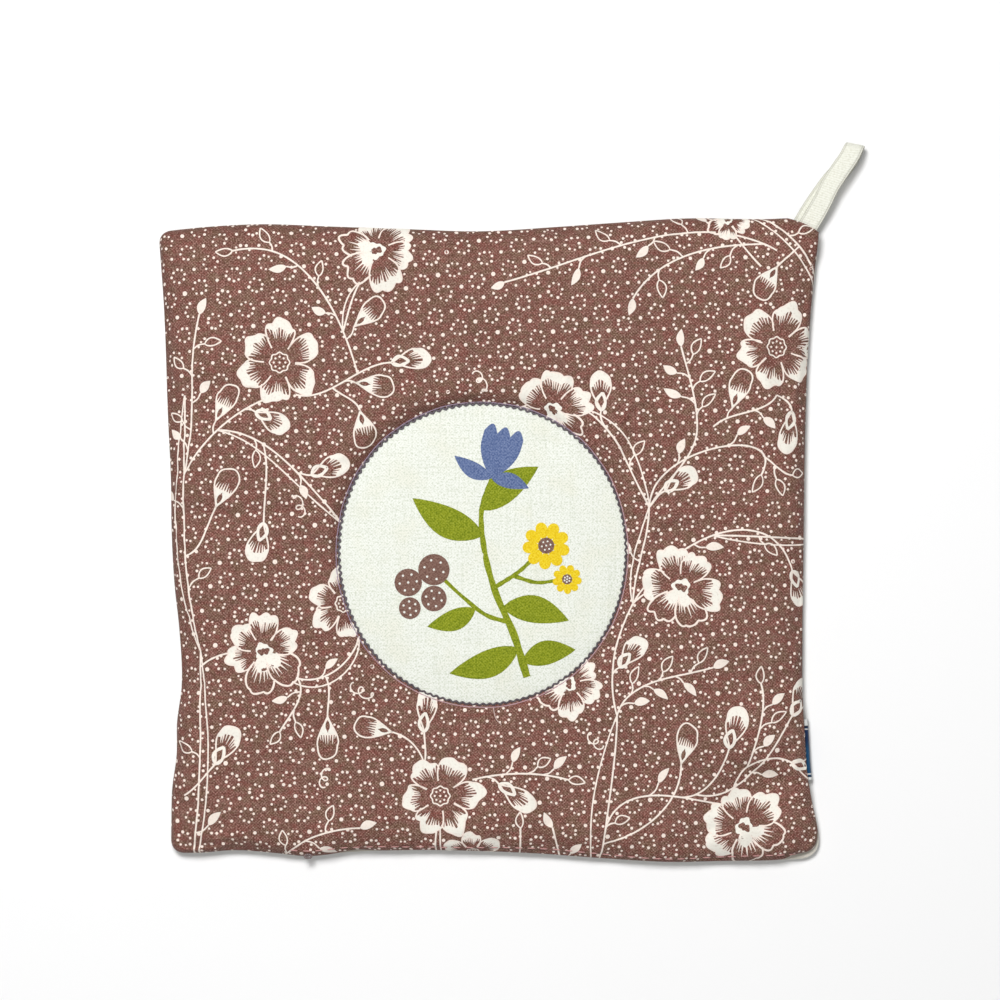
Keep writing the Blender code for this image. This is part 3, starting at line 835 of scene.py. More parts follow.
def touching(points, margin, outline):
    """Which points are inside the outline, by a crossing count, or nearer to its edge than the margin."""
    margin = margin * np.ones(len(points))
    reach_out = margin.max()
    near = np.all((points > outline.min(0) - reach_out) & (points < outline.max(0) + reach_out), axis=1)
    p, a, b = points[near][:, None], outline[None], np.roll(outline, -1, axis=0)[None]
    edge, away = b - a, p - a
    along = np.clip(np.sum(away * edge, axis=2) / np.maximum(np.sum(edge * edge, axis=2), 1e-12), 0, 1)
    gap = np.linalg.norm(away - along[..., None] * edge, axis=2).min(axis=1)
    spans = (a[..., 1] > p[..., 1]) != (b[..., 1] > p[..., 1])
    rise = np.where(edge[..., 1] == 0, 1e-12, edge[..., 1])
    crossing = spans & (p[..., 0] < a[..., 0] + (p[..., 1] - a[..., 1]) * edge[..., 0] / rise)
    found = np.zeros(len(points), bool)
    found[near] = (crossing.sum(axis=1) % 2 == 1) | (gap < margin[near])
    return found


class Ink:
    """Flat patches in the plane, in millimetres, with the outlines that are in front."""

    def __init__(self):
        self.points, self.thin, self.quads, self.disks = [], [], [], []
        self.fronts, self.ways, self.count = [], [], 0

    def covered(self, points, margin=0.0):
        """Which points are behind something, or closer to it than the margin."""
        found = np.zeros(len(points), bool)
        low, high = points.min(0) - margin, points.max(0) + margin
        for outline in self.fronts:
            if np.all(outline.max(0) > low) and np.all(outline.min(0) < high):
                found |= touching(points, margin, outline)
        return found

    def patch(self, grid, wrap=False, thin=0.0):
        """A grid of points becomes a patch, without the faces that are behind something."""
        rows, columns = grid.shape[:2]
        points = grid.reshape(-1, 2)
        faces = grid_faces(rows, columns, wrap)
        if self.fronts:
            faces = faces[~self.covered(points)[faces].all(axis=1)]
        self.quads.append(faces + self.count)
        self.add(points, thin)

    def add(self, points, thin):
        """Keeps points, and how thin the ink is there: from 0 in a full area to 1 in lines and dots."""
        self.points.append(points)
        self.thin.append(np.full(len(points), thin))
        self.count += len(points)

    def band(self, curve, width, ends=1.0, closed=False, thin=0.8):
        """A line drawn along points that are close together: half the width to both sides, which
        wavers a little and is multiplied by `ends` along the way."""
        if closed:
            curve = np.vstack((curve[-1:], curve, curve[:2]))
        along = np.gradient(curve, axis=0)
        if closed:
            curve, along = curve[1:-1], along[1:-1]
        waver = 1 + 0.09 * np.sin(curve[:, 0] * 1.9 + curve[:, 1] * 1.3)
        half = (0.5 * width * waver * ends)[:, None] * left_of(along)
        self.patch(np.stack((curve - half, curve + half), axis=1), thin=thin)

    def line(self, way, width, ends=(1.0, 1.0), step=0.6):
        """A line along a smooth curve through a few points."""
        way = np.reshape(way, (-1, 2)).astype(float)
        place = chord_places(way)
        where = np.linspace(0.0, place[-1], max(int(place[-1] / step), 3) + 1)
        self.band(smooth_rows(place, way, where), width, np.interp(where, (0.0, place[-1]), ends))

    def dots(self, centres, radius):
        """Small dots with DOT_CORNERS corners."""
        rim = directions((np.arange(DOT_CORNERS) + 0.5) * math.tau / DOT_CORNERS)
        points = centres[:, None] + np.reshape(radius * np.ones(len(centres)), (-1, 1, 1)) * rim
        self.disks.append(self.count + np.arange(len(centres) * DOT_CORNERS).reshape(-1, DOT_CORNERS))
        self.add(points.reshape(-1, 2), 1.0)

    def disk(self, x, y, radius):
        """A round patch that can follow a domed cloth: rings of faces about a small middle."""
        reach = radius * np.linspace(1.0, 0.2, 6)
        rim = directions(np.arange(DISK_CORNERS) * math.tau / DISK_CORNERS)
        self.patch(reach[:, None, None] * rim + (x, y), wrap=True)
        self.disks.append(self.quads[-1].max() - np.arange(DISK_CORNERS)[None])


print("a heading of 90 degrees turns (1, 0) into", turned(np.array([[1.0, 0.0]]), 90).round(3))

# %% [markdown]
# ## Petals, buds and leaves
# Most shapes are an egg: a closed curve whose width along its axis is a sine, pinched towards its
# base, with scallops and a slight point at its tip. A white tip is the band between that curve and
# one drawn towards the base, with a comb of fine rays on its inner side. Other petals are only
# outlined, with rays that fan out from the base.
# %% Egg shapes
EGG = np.linspace(-math.pi, math.pi, 73)[:-1]      # angle round the egg, 0 at its tip
OUTLINE, RAY = 0.5, 0.62                           # widths of drawn lines


def egg(length, width, start=0.0, pinch=0.4, scallops=3, depth=0.05, random=None):
    """Outline from `start` to `length` along its axis: a cosine along, a sine times
    cos(angle / 2) ** (2 * pinch) across, then scallops, and waves of a random phase, that fade away
    from the tip."""
    across = np.sin(EGG) * np.cos(EGG / 2) ** (2 * pinch)
    points = np.column_stack((start + (length - start) * (0.5 + 0.5 * np.cos(EGG)),
                              0.5 * width * across / np.abs(across).max()))
    middle = np.array((start + 0.5 * (length - start), 0.0))
    fade = np.clip(0.5 + np.cos(EGG), 0.0, 1.0)
    uneven = 0.0
    if random is not None:
        uneven = sum(size * np.sin(times * EGG + random.uniform(0, math.tau))
                     for times, size in ((2, 0.04), (3, 0.035), (7, 0.02)))
    bulge = 1 + fade * (depth * (np.abs(np.cos(0.5 * scallops * EGG)) - 0.5) + uneven)
    return middle + (points - middle) * bulge[:, None]


def tip_band(outline, focus, deep, spread):
    """Grid between the outline and the same curve drawn towards the focus, round the tip only."""
    chosen = np.abs(EGG) <= spread
    edge = outline[chosen]
    taper = np.clip(1 - (EGG[chosen] / spread) ** 2, 0.02, 1.0) ** 0.7
    toward = focus - edge
    toward /= np.hypot(*toward.T)[:, None]
    share = np.linspace(0.0, 1.0, 4)[:, None, None]
    return edge[None] + share * (deep * taper)[:, None] * toward


def rays(ink, roots, tips, heading, origin):
    """Fine tapering lines from each root to its tip."""
    for root, tip in zip(turned(roots, heading, origin), turned(tips, heading, origin)):
        ink.line(np.vstack((root, tip)), RAY, (1.0, 0.12), 0.8)


def comb(band, random, count, base, longest):
    """Roots along a band's inner edge, and tips towards the base, longest in the middle."""
    inner = band[-1]
    share = np.linspace(0.07, 0.93, count)
    roots = inner[(share * (len(inner) - 1)).astype(int)]
    way = base - roots
    way /= np.hypot(*way.T)[:, None]
    long = longest * (1.0 - 0.9 * np.abs(share - 0.5)) * random.uniform(0.65, 1.0, count)
    return roots - 0.4 * way, roots + long[:, None] * way


def petal_outline(random, length, spread, start, scallops):
    """Outline in polar coordinates about the flower's centre: the angle is a power of a sine and the
    distance a power of a cosine, so the sides run along two spokes and the tip is blunt. Scallops, and
    waves of a random phase, make the tip uneven."""
    side = np.sign(EGG) * np.sin(0.5 * np.abs(EGG)) ** 0.9
    fade = np.abs(np.cos(0.5 * EGG))
    uneven = sum(size * np.sin(math.pi * times * side + random.uniform(0, math.tau))
                 for times, size in ((1, 0.05), (2, 0.035), (3.5, 0.02)))
    scallop = np.abs(np.cos(0.5 * math.pi * scallops * side + random.uniform(-0.5, 0.5)))
    uneven += 0.09 * (scallop - 0.6)
    far = (start + (length - start) * fade ** 0.7) * (1 + fade * uneven)
    return far[:, None] * directions(math.radians(spread) * side)


def petal(ink, random, centre, heading, length, spread, tipped=True, start=2.4, scallops=3):
    """A petal round a flower's centre: white at its tip with teeth inwards, or white at its foot with
    teeth outwards and a thin line round it."""
    outline = petal_outline(random, length, spread, start, scallops)
    deep = length - start
    thick = OUTLINE if tipped else 1.25 * OUTLINE
    ink.band(turned(outline[np.abs(EGG) < 3.0], heading, centre), thick, thin=1.0)
    if tipped:
        band = tip_band(outline, np.array((start + 0.2 * deep, 0.0)), 0.3 * deep, 1.75)
        ink.patch(turned(band, heading, centre))
        count = 9 if spread < 34 else 11
        roots, tips = comb(band, random, count, np.array((0.5 * start, 0.0)), 0.36 * deep)
    else:
        foot = outline[np.abs(EGG) < 2.5]
        reach = 0.5 - 0.2 * np.linspace(-1.0, 1.0, len(foot))[:, None] ** 2
        rim = reach * foot
        share = np.linspace(0.3, 1.0, 4)[:, None, None]
        ink.patch(turned(share * rim, heading, centre))
        chosen = np.linspace(2, len(foot) - 3, 11).astype(int)
        roots = 0.95 * rim[chosen]
        tips = (reach[chosen] + random.uniform(0.18, 0.32, (11, 1))) * foot[chosen]
    rays(ink, roots, tips, heading, centre)
    ink.fronts.append(turned(outline, heading, centre))


# %% Leaves and buds


def leaf_outline(x, y, heading, length, width):
    """A slightly bowed leaf: half its width is a sine of the way along."""
    t = np.linspace(0.0, 1.0, 13)
    half = 0.5 * width * np.sin(math.pi * t ** 0.85) ** 0.9 + 0.04
    bow = 0.06 * length * np.sin(math.pi * t)
    sides = [np.column_stack((t * length, bow + side * half)) for side in (-1, 1)]
    return turned(np.stack(sides), heading, (x, y))


def leaf(ink, x, y, heading, length, width, solid=True):
    """A solid leaf, or one that is only outlined."""
    low, high = leaf_outline(x, y, heading, length, width)
    rim = np.vstack((low, high[::-1]))
    if solid:
        share = np.linspace(0.0, 1.0, 4)[None, :, None]
        ink.patch(low[:, None] * (1 - share) + high[:, None] * share, thin=0.7)
    else:
        ink.band(rim[:-1], 0.45, closed=True)
    ink.fronts.append(rim)


def bud(ink, random, x, y, heading, length, width, rimmed=True):
    """A bud with a white tip and a leafy calyx, or with a white foot that has an eye in it."""
    outline = egg(length, width, 0.0, 0.75, 3, 0.12, random)
    if rimmed:
        low, high = leaf_outline(x, y, heading + random.uniform(-6, 6), 0.45 * length, 0.42 * width)
        ink.band(np.vstack((low, high[::-1]))[:-1], 0.95, closed=True, thin=0.3)
        band = tip_band(outline, np.array((0.45 * length, 0.0)), 0.22 * length, 1.35)
        ink.patch(turned(band, heading, (x, y)))
        roots, tips = comb(band, random, 7, np.array((0.1 * length, 0.0)), 0.3 * length)
    else:
        along = np.linspace(0.04, 0.46, 9)[:, None]
        half = np.interp(along[:, 0] * length, outline[36:, 0][::-1], outline[36:, 1][::-1])[:, None]
        eye = 0.1 * width * np.sqrt(np.clip(1 - ((along - 0.24) / 0.12) ** 2, 0.0, 1.0))
        side = eye + np.linspace(0.0, 1.0, 3)[None] * (np.maximum(half, eye + 0.05) - eye)
        for sign in (-1, 1):
            grid = np.stack((along * length * np.ones_like(side), sign * side), axis=-1)
            ink.patch(turned(grid, heading, (x, y)))
        share = np.linspace(-0.85, 0.85, 7)
        roots = np.column_stack((np.full(7, 0.43 * length), 0.42 * width * share))
        far = random.uniform(0.6, 0.74, 7) - 0.08 * np.abs(share)
        tips = np.column_stack((length * far, 0.36 * width * share))
    ink.band(turned(outline, heading, (x, y)), OUTLINE, closed=True)
    rays(ink, roots, tips, heading, (x, y))
    ink.fronts.append(turned(outline, heading, (x, y)))


# %% Whole flowers


def six_petals(ink, random, x, y, size, turn_by):
    """A scalloped disc with dots in it, and six petals sixty degrees apart, each a little different."""
    angle = np.linspace(0.0, math.tau, 49)[:-1]
    disc = 0.23 * size
    spokes = directions(angle)
    rim = (x, y) + (disc * (1 + 0.07 * np.cos(8 * angle)))[:, None] * spokes
    ink.band(rim, 0.45, closed=True)
    ink.dots((x, y) + 0.6 * disc * spokes[::6], 0.36)
    ink.dots(np.array(((x, y),)), 0.36)
    ink.fronts.append(rim)
    for heading in turn_by + np.arange(6) * 60.0 + random.uniform(-5, 5, 6):
        petal(ink, random, (x, y), heading, size * random.uniform(0.93, 1.06), random.uniform(30, 34),
              start=0.24 * size, scallops=random.uniform(1.0, 2.4))


# degrees from the flower's own turn, and whether the petal has a white tip
PANSY_PETALS = ((0, True), (64, True), (-64, False), (122, True), (-122, False), (180, True))


def pansy(ink, random, x, y, size, turn_by):
    """A ragged white throat with a brown eye, petals with white tips round it and two with a white foot."""
    angle = np.linspace(0.0, math.tau, 41)[:-1]
    spokes = directions(angle)
    phase = random.uniform(0, math.tau, 3)
    inner = 0.11 * size * (1 + 0.35 * np.sin(2 * angle + phase[0]) + 0.15 * np.sin(5 * angle + phase[1]))
    outer = 0.21 * size * (1 + 0.13 * np.sin(3 * angle + phase[2]) + 0.08 * np.sin(7 * angle))
    radius = inner + np.linspace(0.0, 1.0, 3)[:, None] * (np.maximum(outer, inner + 0.4) - inner)
    ink.patch((x, y) + radius[..., None] * spokes, wrap=True)
    ink.fronts.append((x, y) + outer[:, None] * spokes)
    for turn_more, tipped in PANSY_PETALS:
        petal(ink, random, (x, y), turn_by + turn_more + random.uniform(-6, 6),
              size * random.uniform(0.88, 1.04), random.uniform(34, 40), tipped,
              start=0.2 * size, scallops=3.5)


FLOWER_KINDS = {"six": six_petals, "pansy": pansy}
Flower = namedtuple("Flower", "kind x y size turn")
FLOWERS = (
    Flower("six", -65, 55, 13.0, 25), Flower("six", -15, -80, 12.5, 5), Flower("six", 90, 60, 13.0, 15),
    Flower("pansy", -70, -35, 12.5, 20), Flower("pansy", -35, 90, 12.5, -75),
    Flower("pansy", 60, -15, 13.0, -10), Flower("pansy", 80, -90, 13.0, 40),
    Flower("six", -45, -20, 11.0, 40), Flower("pansy", 25, -45, 10.5, -80),
    Flower("pansy", 20, 40, 12.0, 20), Flower("pansy", 75, 100, 7.0, -90), Flower("six", -5, -100, 9.0, 30),
)
ink = Ink()
random = np.random.default_rng(5)
for flower in FLOWERS:
    FLOWER_KINDS[flower.kind](ink, random, flower.x, flower.y, flower.size, flower.turn)
print(len(FLOWERS), "flowers,", len(ink.fronts), "outlines in front")

# %% [markdown]
# ## Vines
# A short table says between which places the vines run, in round numbers, and with which headings they
# leave and arrive. A Bezier curve joins the two, with handles as long as an arc of a circle needs.
# Some vines have a twin that parts from them and comes back. Each letter in `shoots` is one shoot,
# left and right in turn: a leaf, an outlined leaf, a bud, or a bud with a white foot. It grows only where
# there is room: if not, it tries the other side, then further on, and is given up after a few tries.
# %% Vines and what grows on them
VINE, STEM, MARGIN = 0.55, 0.48, 0.8
Vine = namedtuple("Vine", "x0 y0 leaves x1 y1 arrives twin shoots tip")
VINES = (
    # left, from bottom to top
    Vine(-95, -110, 75, -90, -35, 90, -2.6, "lo", ""), Vine(-90, -35, 105, -95, 45, 90, 3.0, "ol", ""),
    Vine(-95, -80, 30, -85, -70, 45, 0.0, "", "b"), Vine(-90, -40, 45, -75, -35, 0, 0.0, "", ""),
    Vine(-95, -5, 15, -85, 10, 60, 0.0, "", "f"), Vine(-95, 20, 75, -90, 70, 75, 0.0, "loloo", "l"),
    Vine(-95, 20, 60, -65, 45, 15, 0.0, "fb", ""), Vine(-85, 35, 0, -45, 5, -45, -2.8, "ol", ""),
    Vine(-70, 30, -75, -70, 5, -90, 0.0, "", "b"), Vine(-60, 20, 0, -55, 20, 15, 0.0, "", "b"),
    Vine(-60, 45, -15, -30, 55, 0, 0.0, "f", "b"), Vine(-40, 50, 105, -80, 90, 195, 0.0, "flolo", "o"),
    Vine(-45, 65, 75, -40, 80, 60, 1.6, "", ""), Vine(-50, 50, -45, -40, 40, -75, 0.0, "", "f"),
    Vine(-65, -40, -45, -40, -30, 75, -2.6, "l", ""), Vine(-60, -45, -60, -65, -60, -120, 0.0, "lo", "o"),
    Vine(-50, -45, -60, -50, -55, -90, 0.0, "", "f"), Vine(-70, -110, 75, -40, -90, 0, 0.0, "lolo", "l"),
    # bottom middle
    Vine(-5, -75, 15, 25, -75, -15, 0.0, "blol", "o"), Vine(-15, -85, -105, -15, -110, -75, 1.6, "", ""),
    Vine(-20, -70, 105, -30, -60, 165, 0.0, "", "f"), Vine(10, -110, 90, 10, -90, 90, 0.0, "", "o"),
    Vine(25, -110, 105, 20, -90, 105, 0.0, "l", "l"), Vine(-20, -70, 75, -20, -60, 90, 0.0, "", "b"),
    # right, from bottom to top
    Vine(35, -110, 90, 40, -55, 90, 5.0, "o", ""), Vine(40, -55, 105, 45, -20, 60, 0.0, "b", ""),
    Vine(35, -90, 75, 80, -85, -15, 0.0, "l", ""), Vine(35, -95, 15, 60, -70, 90, 0.0, "", "f"),
    Vine(60, -80, 0, 75, -65, 75, 0.0, "", "b"), Vine(65, -80, -15, 95, -55, 60, 0.0, "l", "b"),
    Vine(75, -75, 75, 95, -70, -30, 0.0, "", "b"), Vine(80, -70, 75, 85, -45, 105, 0.0, "lol", "o"),
    Vine(40, -55, 75, 70, -40, 15, 0.0, "lololo", "l"), Vine(45, -20, 60, 95, -10, -75, 0.0, "l", "b"),
    Vine(45, -20, 45, 55, -15, 0, 0.0, "", ""), Vine(70, 0, 0, 110, 0, 0, -2.4, "o", ""),
    Vine(45, -20, 90, 50, 10, 90, 2.2, "b", ""), Vine(50, 10, 90, 85, 20, -120, 0.0, "ll", "o"),
    Vine(50, 10, 60, 65, 35, 90, 0.0, "", ""), Vine(65, 35, 90, 60, 60, 105, 0.0, "ololo", "l"),
    Vine(50, 10, 120, 30, 40, 150, -3.4, "o", ""), Vine(40, 30, 120, 35, 40, 75, 0.0, "", "b"),
    Vine(50, 10, 45, 55, 15, 15, 0.0, "", "b"), Vine(70, 35, 45, 90, 45, 60, 0.0, "fbl", ""),
    Vine(85, 25, -30, 95, 20, 0, 0.0, "o", "o"), Vine(90, 45, -15, 95, 40, -90, 0.0, "", "b"),
    # top right
    Vine(90, 90, 150, 5, 80, 195, 0.0, "olololo", "l"), Vine(85, 90, 180, 45, 75, -120, 0.0, "oloo", "l"),
    Vine(65, 110, -45, 85, 85, -45, 0.0, "", ""), Vine(75, 105, -15, 105, 70, -90, -2.2, "o", ""),
    Vine(95, 90, -135, 90, 85, -135, 0.0, "", "f"),
)


def joined(place, earlier):
    """The nearest place on an earlier vine, if it is within 4 mm."""
    if not earlier:
        return place
    ways = np.concatenate(earlier)
    away = np.hypot(*(ways - place).T)
    return ways[away.argmin()] if away.min() < 4.0 else place


def vine_line(vine, earlier):
    """Points about 0.6 mm apart on a cubic Bezier curve. Its handles are chord / (3 cos(bend / 4) ** 2)."""
    begin, end = joined((vine.x0, vine.y0), earlier), np.array((vine.x1, vine.y1), float)
    if not vine.tip:
        end = joined(end, earlier)
    chord = np.hypot(*(end - begin))
    bend = (vine.arrives - vine.leaves + 180) % 360 - 180
    handle = np.array((chord / (3 * math.cos(math.radians(bend / 4)) ** 2), 0.0))
    second, third = begin + turned(handle, vine.leaves), end - turned(handle, vine.arrives)
    t = np.linspace(0.0, 1.0, max(int(1.1 * chord / 0.6), 6) + 1)[:, None]
    return (1 - t) ** 3 * begin + 3 * t * (1 - t) ** 2 * second + 3 * t * t * (1 - t) * third + t ** 3 * end


def has_room(ink, outline):
    """Whether a shape touches neither what is in front nor a vine."""
    if ink.covered(outline, MARGIN).any():
        return False
    away = np.concatenate(ink.ways)[None] - outline[:, None]
    return np.hypot(away[..., 0], away[..., 1]).min() > MARGIN


SHOOTS = {"l": (leaf, True), "o": (leaf, False), "b": (bud, True), "f": (bud, False)}


def shoot(ink, random, root, heading, letter, stalk=None):
    """Grows a stalk with a leaf or bud at its end, and says whether there was room for it."""
    draw, filled = SHOOTS[letter]
    if stalk is None:
        stalk = random.uniform(3.0, 5.0)
    length, width = (random.uniform(11.0, 13.0), random.uniform(6.2, 7.4)) if draw is bud else (
        random.uniform(4.6, 6.0), random.uniform(2.2, 2.7))
    joint = root + turned(np.array((stalk, 0.0)), heading)
    bent = heading + random.uniform(-18, 18)
    low, high = leaf_outline(*joint, bent, length, width)
    if stalk and not has_room(ink, np.vstack((low[2:], high[2:]))):
        return False
    if draw is bud:
        bud(ink, random, *joint, bent, length, width, filled)
    else:
        leaf(ink, *joint, bent, length, width, filled)
    if stalk:
        elbow = root + turned(np.array((0.5 * stalk, 0.12 * stalk * random.choice((-1, 1)))), heading)
        ink.line(np.vstack((root, elbow, joint)), STEM)
    return True


def grow(ink, random, line, letters):
    """Shoots along a line, left and right in turn; gives how many found room."""
    grown = 0
    for number, letter in enumerate(letters):
        for attempt in range(8):
            where = (number + 0.8 + 0.15 * attempt) / (len(letters) + 1.2)
            at = min(int(where * len(line)), len(line) - 2)
            ahead = line[at + 1] - line[at]
            side = 1 if (number + attempt) % 2 else -1
            heading = math.degrees(math.atan2(ahead[1], ahead[0])) + side * random.uniform(35, 60)
            if shoot(ink, random, line[at], heading, letter if attempt < 5 else "l"):
                grown += 1
                break
    return grown


lines = []
for vine in VINES:
    lines.append(vine_line(vine, lines))
ink.ways = lines
for vine, line in zip(VINES, lines):
    if vine.tip:
        shoot(ink, random, line[-1], vine.arrives, vine.tip, 0.0)
shoots = sum(grow(ink, random, line, vine.shoots) for vine, line in zip(VINES, lines))
for vine, line in zip(VINES, lines):
    ink.band(line, VINE)
    if vine.twin:
        parting = vine.twin * np.sin(np.linspace(0.0, math.pi, len(line))) ** 0.8
        ink.band(line + parting[:, None] * left_of(np.gradient(line, axis=0)), 0.85 * VINE)

# %% Tendrils
Tendril = namedtuple("Tendril", "x y heading size side")
TENDRILS = (Tendril(0, 45, 120, 5.0, 1), Tendril(-35, -50, 150, 5.5, -1), Tendril(-50, -70, -105, 4.5, 1),
            Tendril(-60, 15, -75, 5.0, -1), Tendril(30, -60, -45, 4.5, 1))
for tendril in TENDRILS:
    t = np.linspace(0.0, 1.0, 46)
    winding = 4.4 * math.pi * t ** 1.5
    along, across = 1.5 * t + 0.25 * np.cos(winding), 0.25 * np.sin(winding) * tendril.side
    curl = tendril.size * np.column_stack((along, across))
    ink.band(turned(curl, tendril.heading, (tendril.x, tendril.y)), 0.45)
print(len(VINES), "vines with", shoots, "shoots, and", ink.count, "points of ink")

# %% [markdown]
# ## Dots
# Between the flowers lie rings of dots on a slanting lattice, with one bigger dot in the middle of
# each cell. A dot that would touch a flower, bud or leaf is left out. The lattice is regular on the
# flat cloth, so it follows the roll at the seam.
# %% Lattice of dots
STEP_A, STEP_B = np.array((7.2, -3.5)), np.array((-2.8, -7.4))
RING_R, RING_DOTS, DOT_R, BIG_R = 2.15, 8, 0.43, 0.61


def lattice_dots():
    """Centres and radii of all dots on the flat cloth, each a little out of place."""
    i, j = (n.ravel()[:, None] for n in np.meshgrid(np.arange(-32, 33), np.arange(-32, 33)))
    rings = i * STEP_A + j * STEP_B
    rings = rings[np.abs(rings).max(axis=1) < 114]
    around = rings[:, None] + RING_R * directions((np.arange(RING_DOTS) + 0.25) * math.tau / RING_DOTS)
    singles = rings + (STEP_A + STEP_B) / 2
    centres = np.vstack((around.reshape(-1, 2), singles))
    radii = np.concatenate((np.full(len(rings) * RING_DOTS, DOT_R), np.full(len(singles), BIG_R)))
    random = np.random.default_rng(11)
    return centres + random.normal(0, 0.13, centres.shape), radii * random.normal(1, 0.12, len(radii))


centres, radii = lattice_dots()
taken = ~front.lay(centres, along_cloth=True)[2]
for outline in ink.fronts:
    taken |= touching(centres, radii + 0.35, outline)
dots = Ink()
dots.dots(centres[~taken], radii[~taken])
print(len(centres), "dots on the lattice,", dots.count // DOT_CORNERS, "are printed")

# %% Laying the print
INK_LIFT, DOT_LIFT = 0.075, 0.065


def lay_ink(drawing, cloth, lift, along_cloth=True):
    """Points, cloth coordinates, thinness and faces of a drawing on its cloth, without what lies off
    the edge and without faces of no area."""
    flat_points = np.vstack(drawing.points)
    points, places, inside = cloth.lay(flat_points, lift, along_cloth)
    groups = []
    for faces in (drawing.quads, drawing.disks):
        if faces:
            group = np.vstack(faces)
            group = group[inside[group].any(axis=1)]
            corner = flat_points[group]
            x, y = np.moveaxis(corner, -1, 0)
            area = np.sum(x * np.roll(y, -1, axis=1) - y * np.roll(x, -1, axis=1), axis=1)
            group[area < 0] = group[area < 0][:, ::-1]
            groups.append(group[np.abs(area) > 1e-4])
    used = np.unique(np.concatenate([group.ravel() for group in groups]))
    number = np.zeros(len(points), int)
    number[used] = np.arange(len(used))
    thin = np.concatenate(drawing.thin)
    return points[used], places[used], thin[used], [number[group] for group in groups]


vine_points, vine_places, vine_thin, vine_groups = lay_ink(ink, front, INK_LIFT)
dot_points, dot_places, dot_thin, dot_groups = lay_ink(dots, front, DOT_LIFT)
points = np.vstack((vine_points, dot_points))
places = np.vstack((vine_places, dot_places))
groups = vine_groups + [group + len(vine_points) for group in dot_groups]
print_mesh = make_mesh("cover_print", points, *groups)
give_cloth(print_mesh, places)
give_number(print_mesh, "thin", np.concatenate((vine_thin, dot_thin)))
give_map(print_mesh, 0.5 + (places - CENTRE) / MAP_SPAN)
place_piece("cover_print", print_mesh, print_cream, "front_panel")

# %% [markdown]
# ## The linen medallion
# The disc behind the window is plain linen, much paler than the cover. Linen yarn is uneven: here and
# there a thick slub runs along a thread. The filling behind pushes it up into a shallow dome,
# higher by a fourth power law, so it stays flat in the middle and turns down close to the stitching.
# %% Linen


def linen_height(cloth):
    """The height of uneven linen, its thick and thin yarns, and where the warp is above the weft."""
    weave, yarn, over, _ = plain_weave(cloth, LINEN_PITCH)
    return weave * 0.6 + yarn * 0.6 + cloth.noise(700.0, 2.0) * 0.4, yarn, over


def linen_finish():
    """Pale linen in three near tones: along uneven yarns, in clouds, and in fine grain."""
    material, wire, cloth = new_material("pale_linen", 0.9, 0.04)
    height, yarn, over = linen_height(cloth)
    white, shade, cream = palette(wire, (253, 255, 248), (216, 222, 204), (247, 246, 230))
    colour = white.mix(shade, (yarn * 1.5).between(-0.1, 0.9) * 0.75)
    colour = colour.mix(cream, cloth.noise(90.0, 3.0).between(0.45, 0.7) * 0.6)
    colour = colour.mix(shade, (cloth.noise(1700.0, 2.0, 0.7) - 0.5).between(-0.02, 0.14) * 0.95)
    return finish_with(material, colour.mix(shade, over * 0.3), height, 0.08)


# %% Linen disc
DISC_COLUMNS, DISC_RINGS = 320, 56
DISC_GAP, DISC_SET, DISC_THICK = 0.12, 0.3, 0.9
DISC_PUCKER, DISC_LUMP = 0.13, 0.16
UNDERSIDE = ((1.0, 0.3), (0.995, 0.6), (0.9, 0.75), (0.5, DISC_THICK))      # share of the radius, drop
disc_turn = np.arange(DISC_COLUMNS) * math.tau / DISC_COLUMNS
disc_edge = window_radius(disc_turn) - DISC_GAP
disc_share = np.sin(np.linspace(0.01, 1.0, DISC_RINGS) * math.pi / 2)[:, None]
disc_radius = disc_share * disc_edge
disc_x = CENTRE[0] + disc_radius * np.cos(disc_turn)
disc_y = CENTRE[1] + disc_radius * np.sin(disc_turn)
from_edge = disc_edge - disc_radius
pucker = DISC_PUCKER * waves(8, disc_turn * WINDOW_R, 0.0, 4.0, 10.0) * smooth_step(from_edge / 1.2)
pucker = pucker * np.exp(-(from_edge / 5) ** 2)
swell = DISC_LUMP * waves(9, disc_x, disc_y, 12.0, 34.0) * smooth_step(from_edge / 8.0)
dome = (MEDALLION_CROWN - 0.1) * (1 - disc_share ** 4)
disc_high = CROWN - CHANNEL_DEPTH - DISC_SET + dome + pucker + swell
disc_points = np.stack((disc_x, disc_y, disc_high), axis=-1)
medallion_cloth = Cloth(disc_turn, disc_radius, disc_points, 0)

below = [disc_points[np.argmin(np.abs(disc_share[:, 0] - share))] - (0.0, 0.0, drop)
         for share, drop in UNDERSIDE]
disc_rings = np.concatenate((disc_points, np.stack(below)))
poles = np.array(((*CENTRE, disc_high[0, 0]), (*CENTRE, disc_high[0, 0] - DISC_THICK)))
medallion_mesh = skin("medallion_linen", disc_rings, poles)
flat_disc = np.concatenate((medallion_cloth.flat(), disc_rings[DISC_RINGS:, :, :2])).reshape(-1, 2)
give_cloth(medallion_mesh, np.vstack((flat_disc, poles[:, :2])))
medallion = place_piece("medallion_linen", medallion_mesh, linen_finish(), "medallion", "medallion")
disc_area = 0.5 * float(np.sum(disc_edge ** 2)) * math.tau / DISC_COLUMNS
print("linen disc", round(disc_area / 100, 1), "square centimetres")

# %% [markdown]
# ## A sprig on the linen
# A small sprig is printed on the medallion, of this notebook's own design: a curved stem with leaves, a
# blue bell at its top, two yellow daisies, and round brown berries with pale specks. Its inks are flat
# and strong, and let the weave show through.
# %% Inks of the sprig


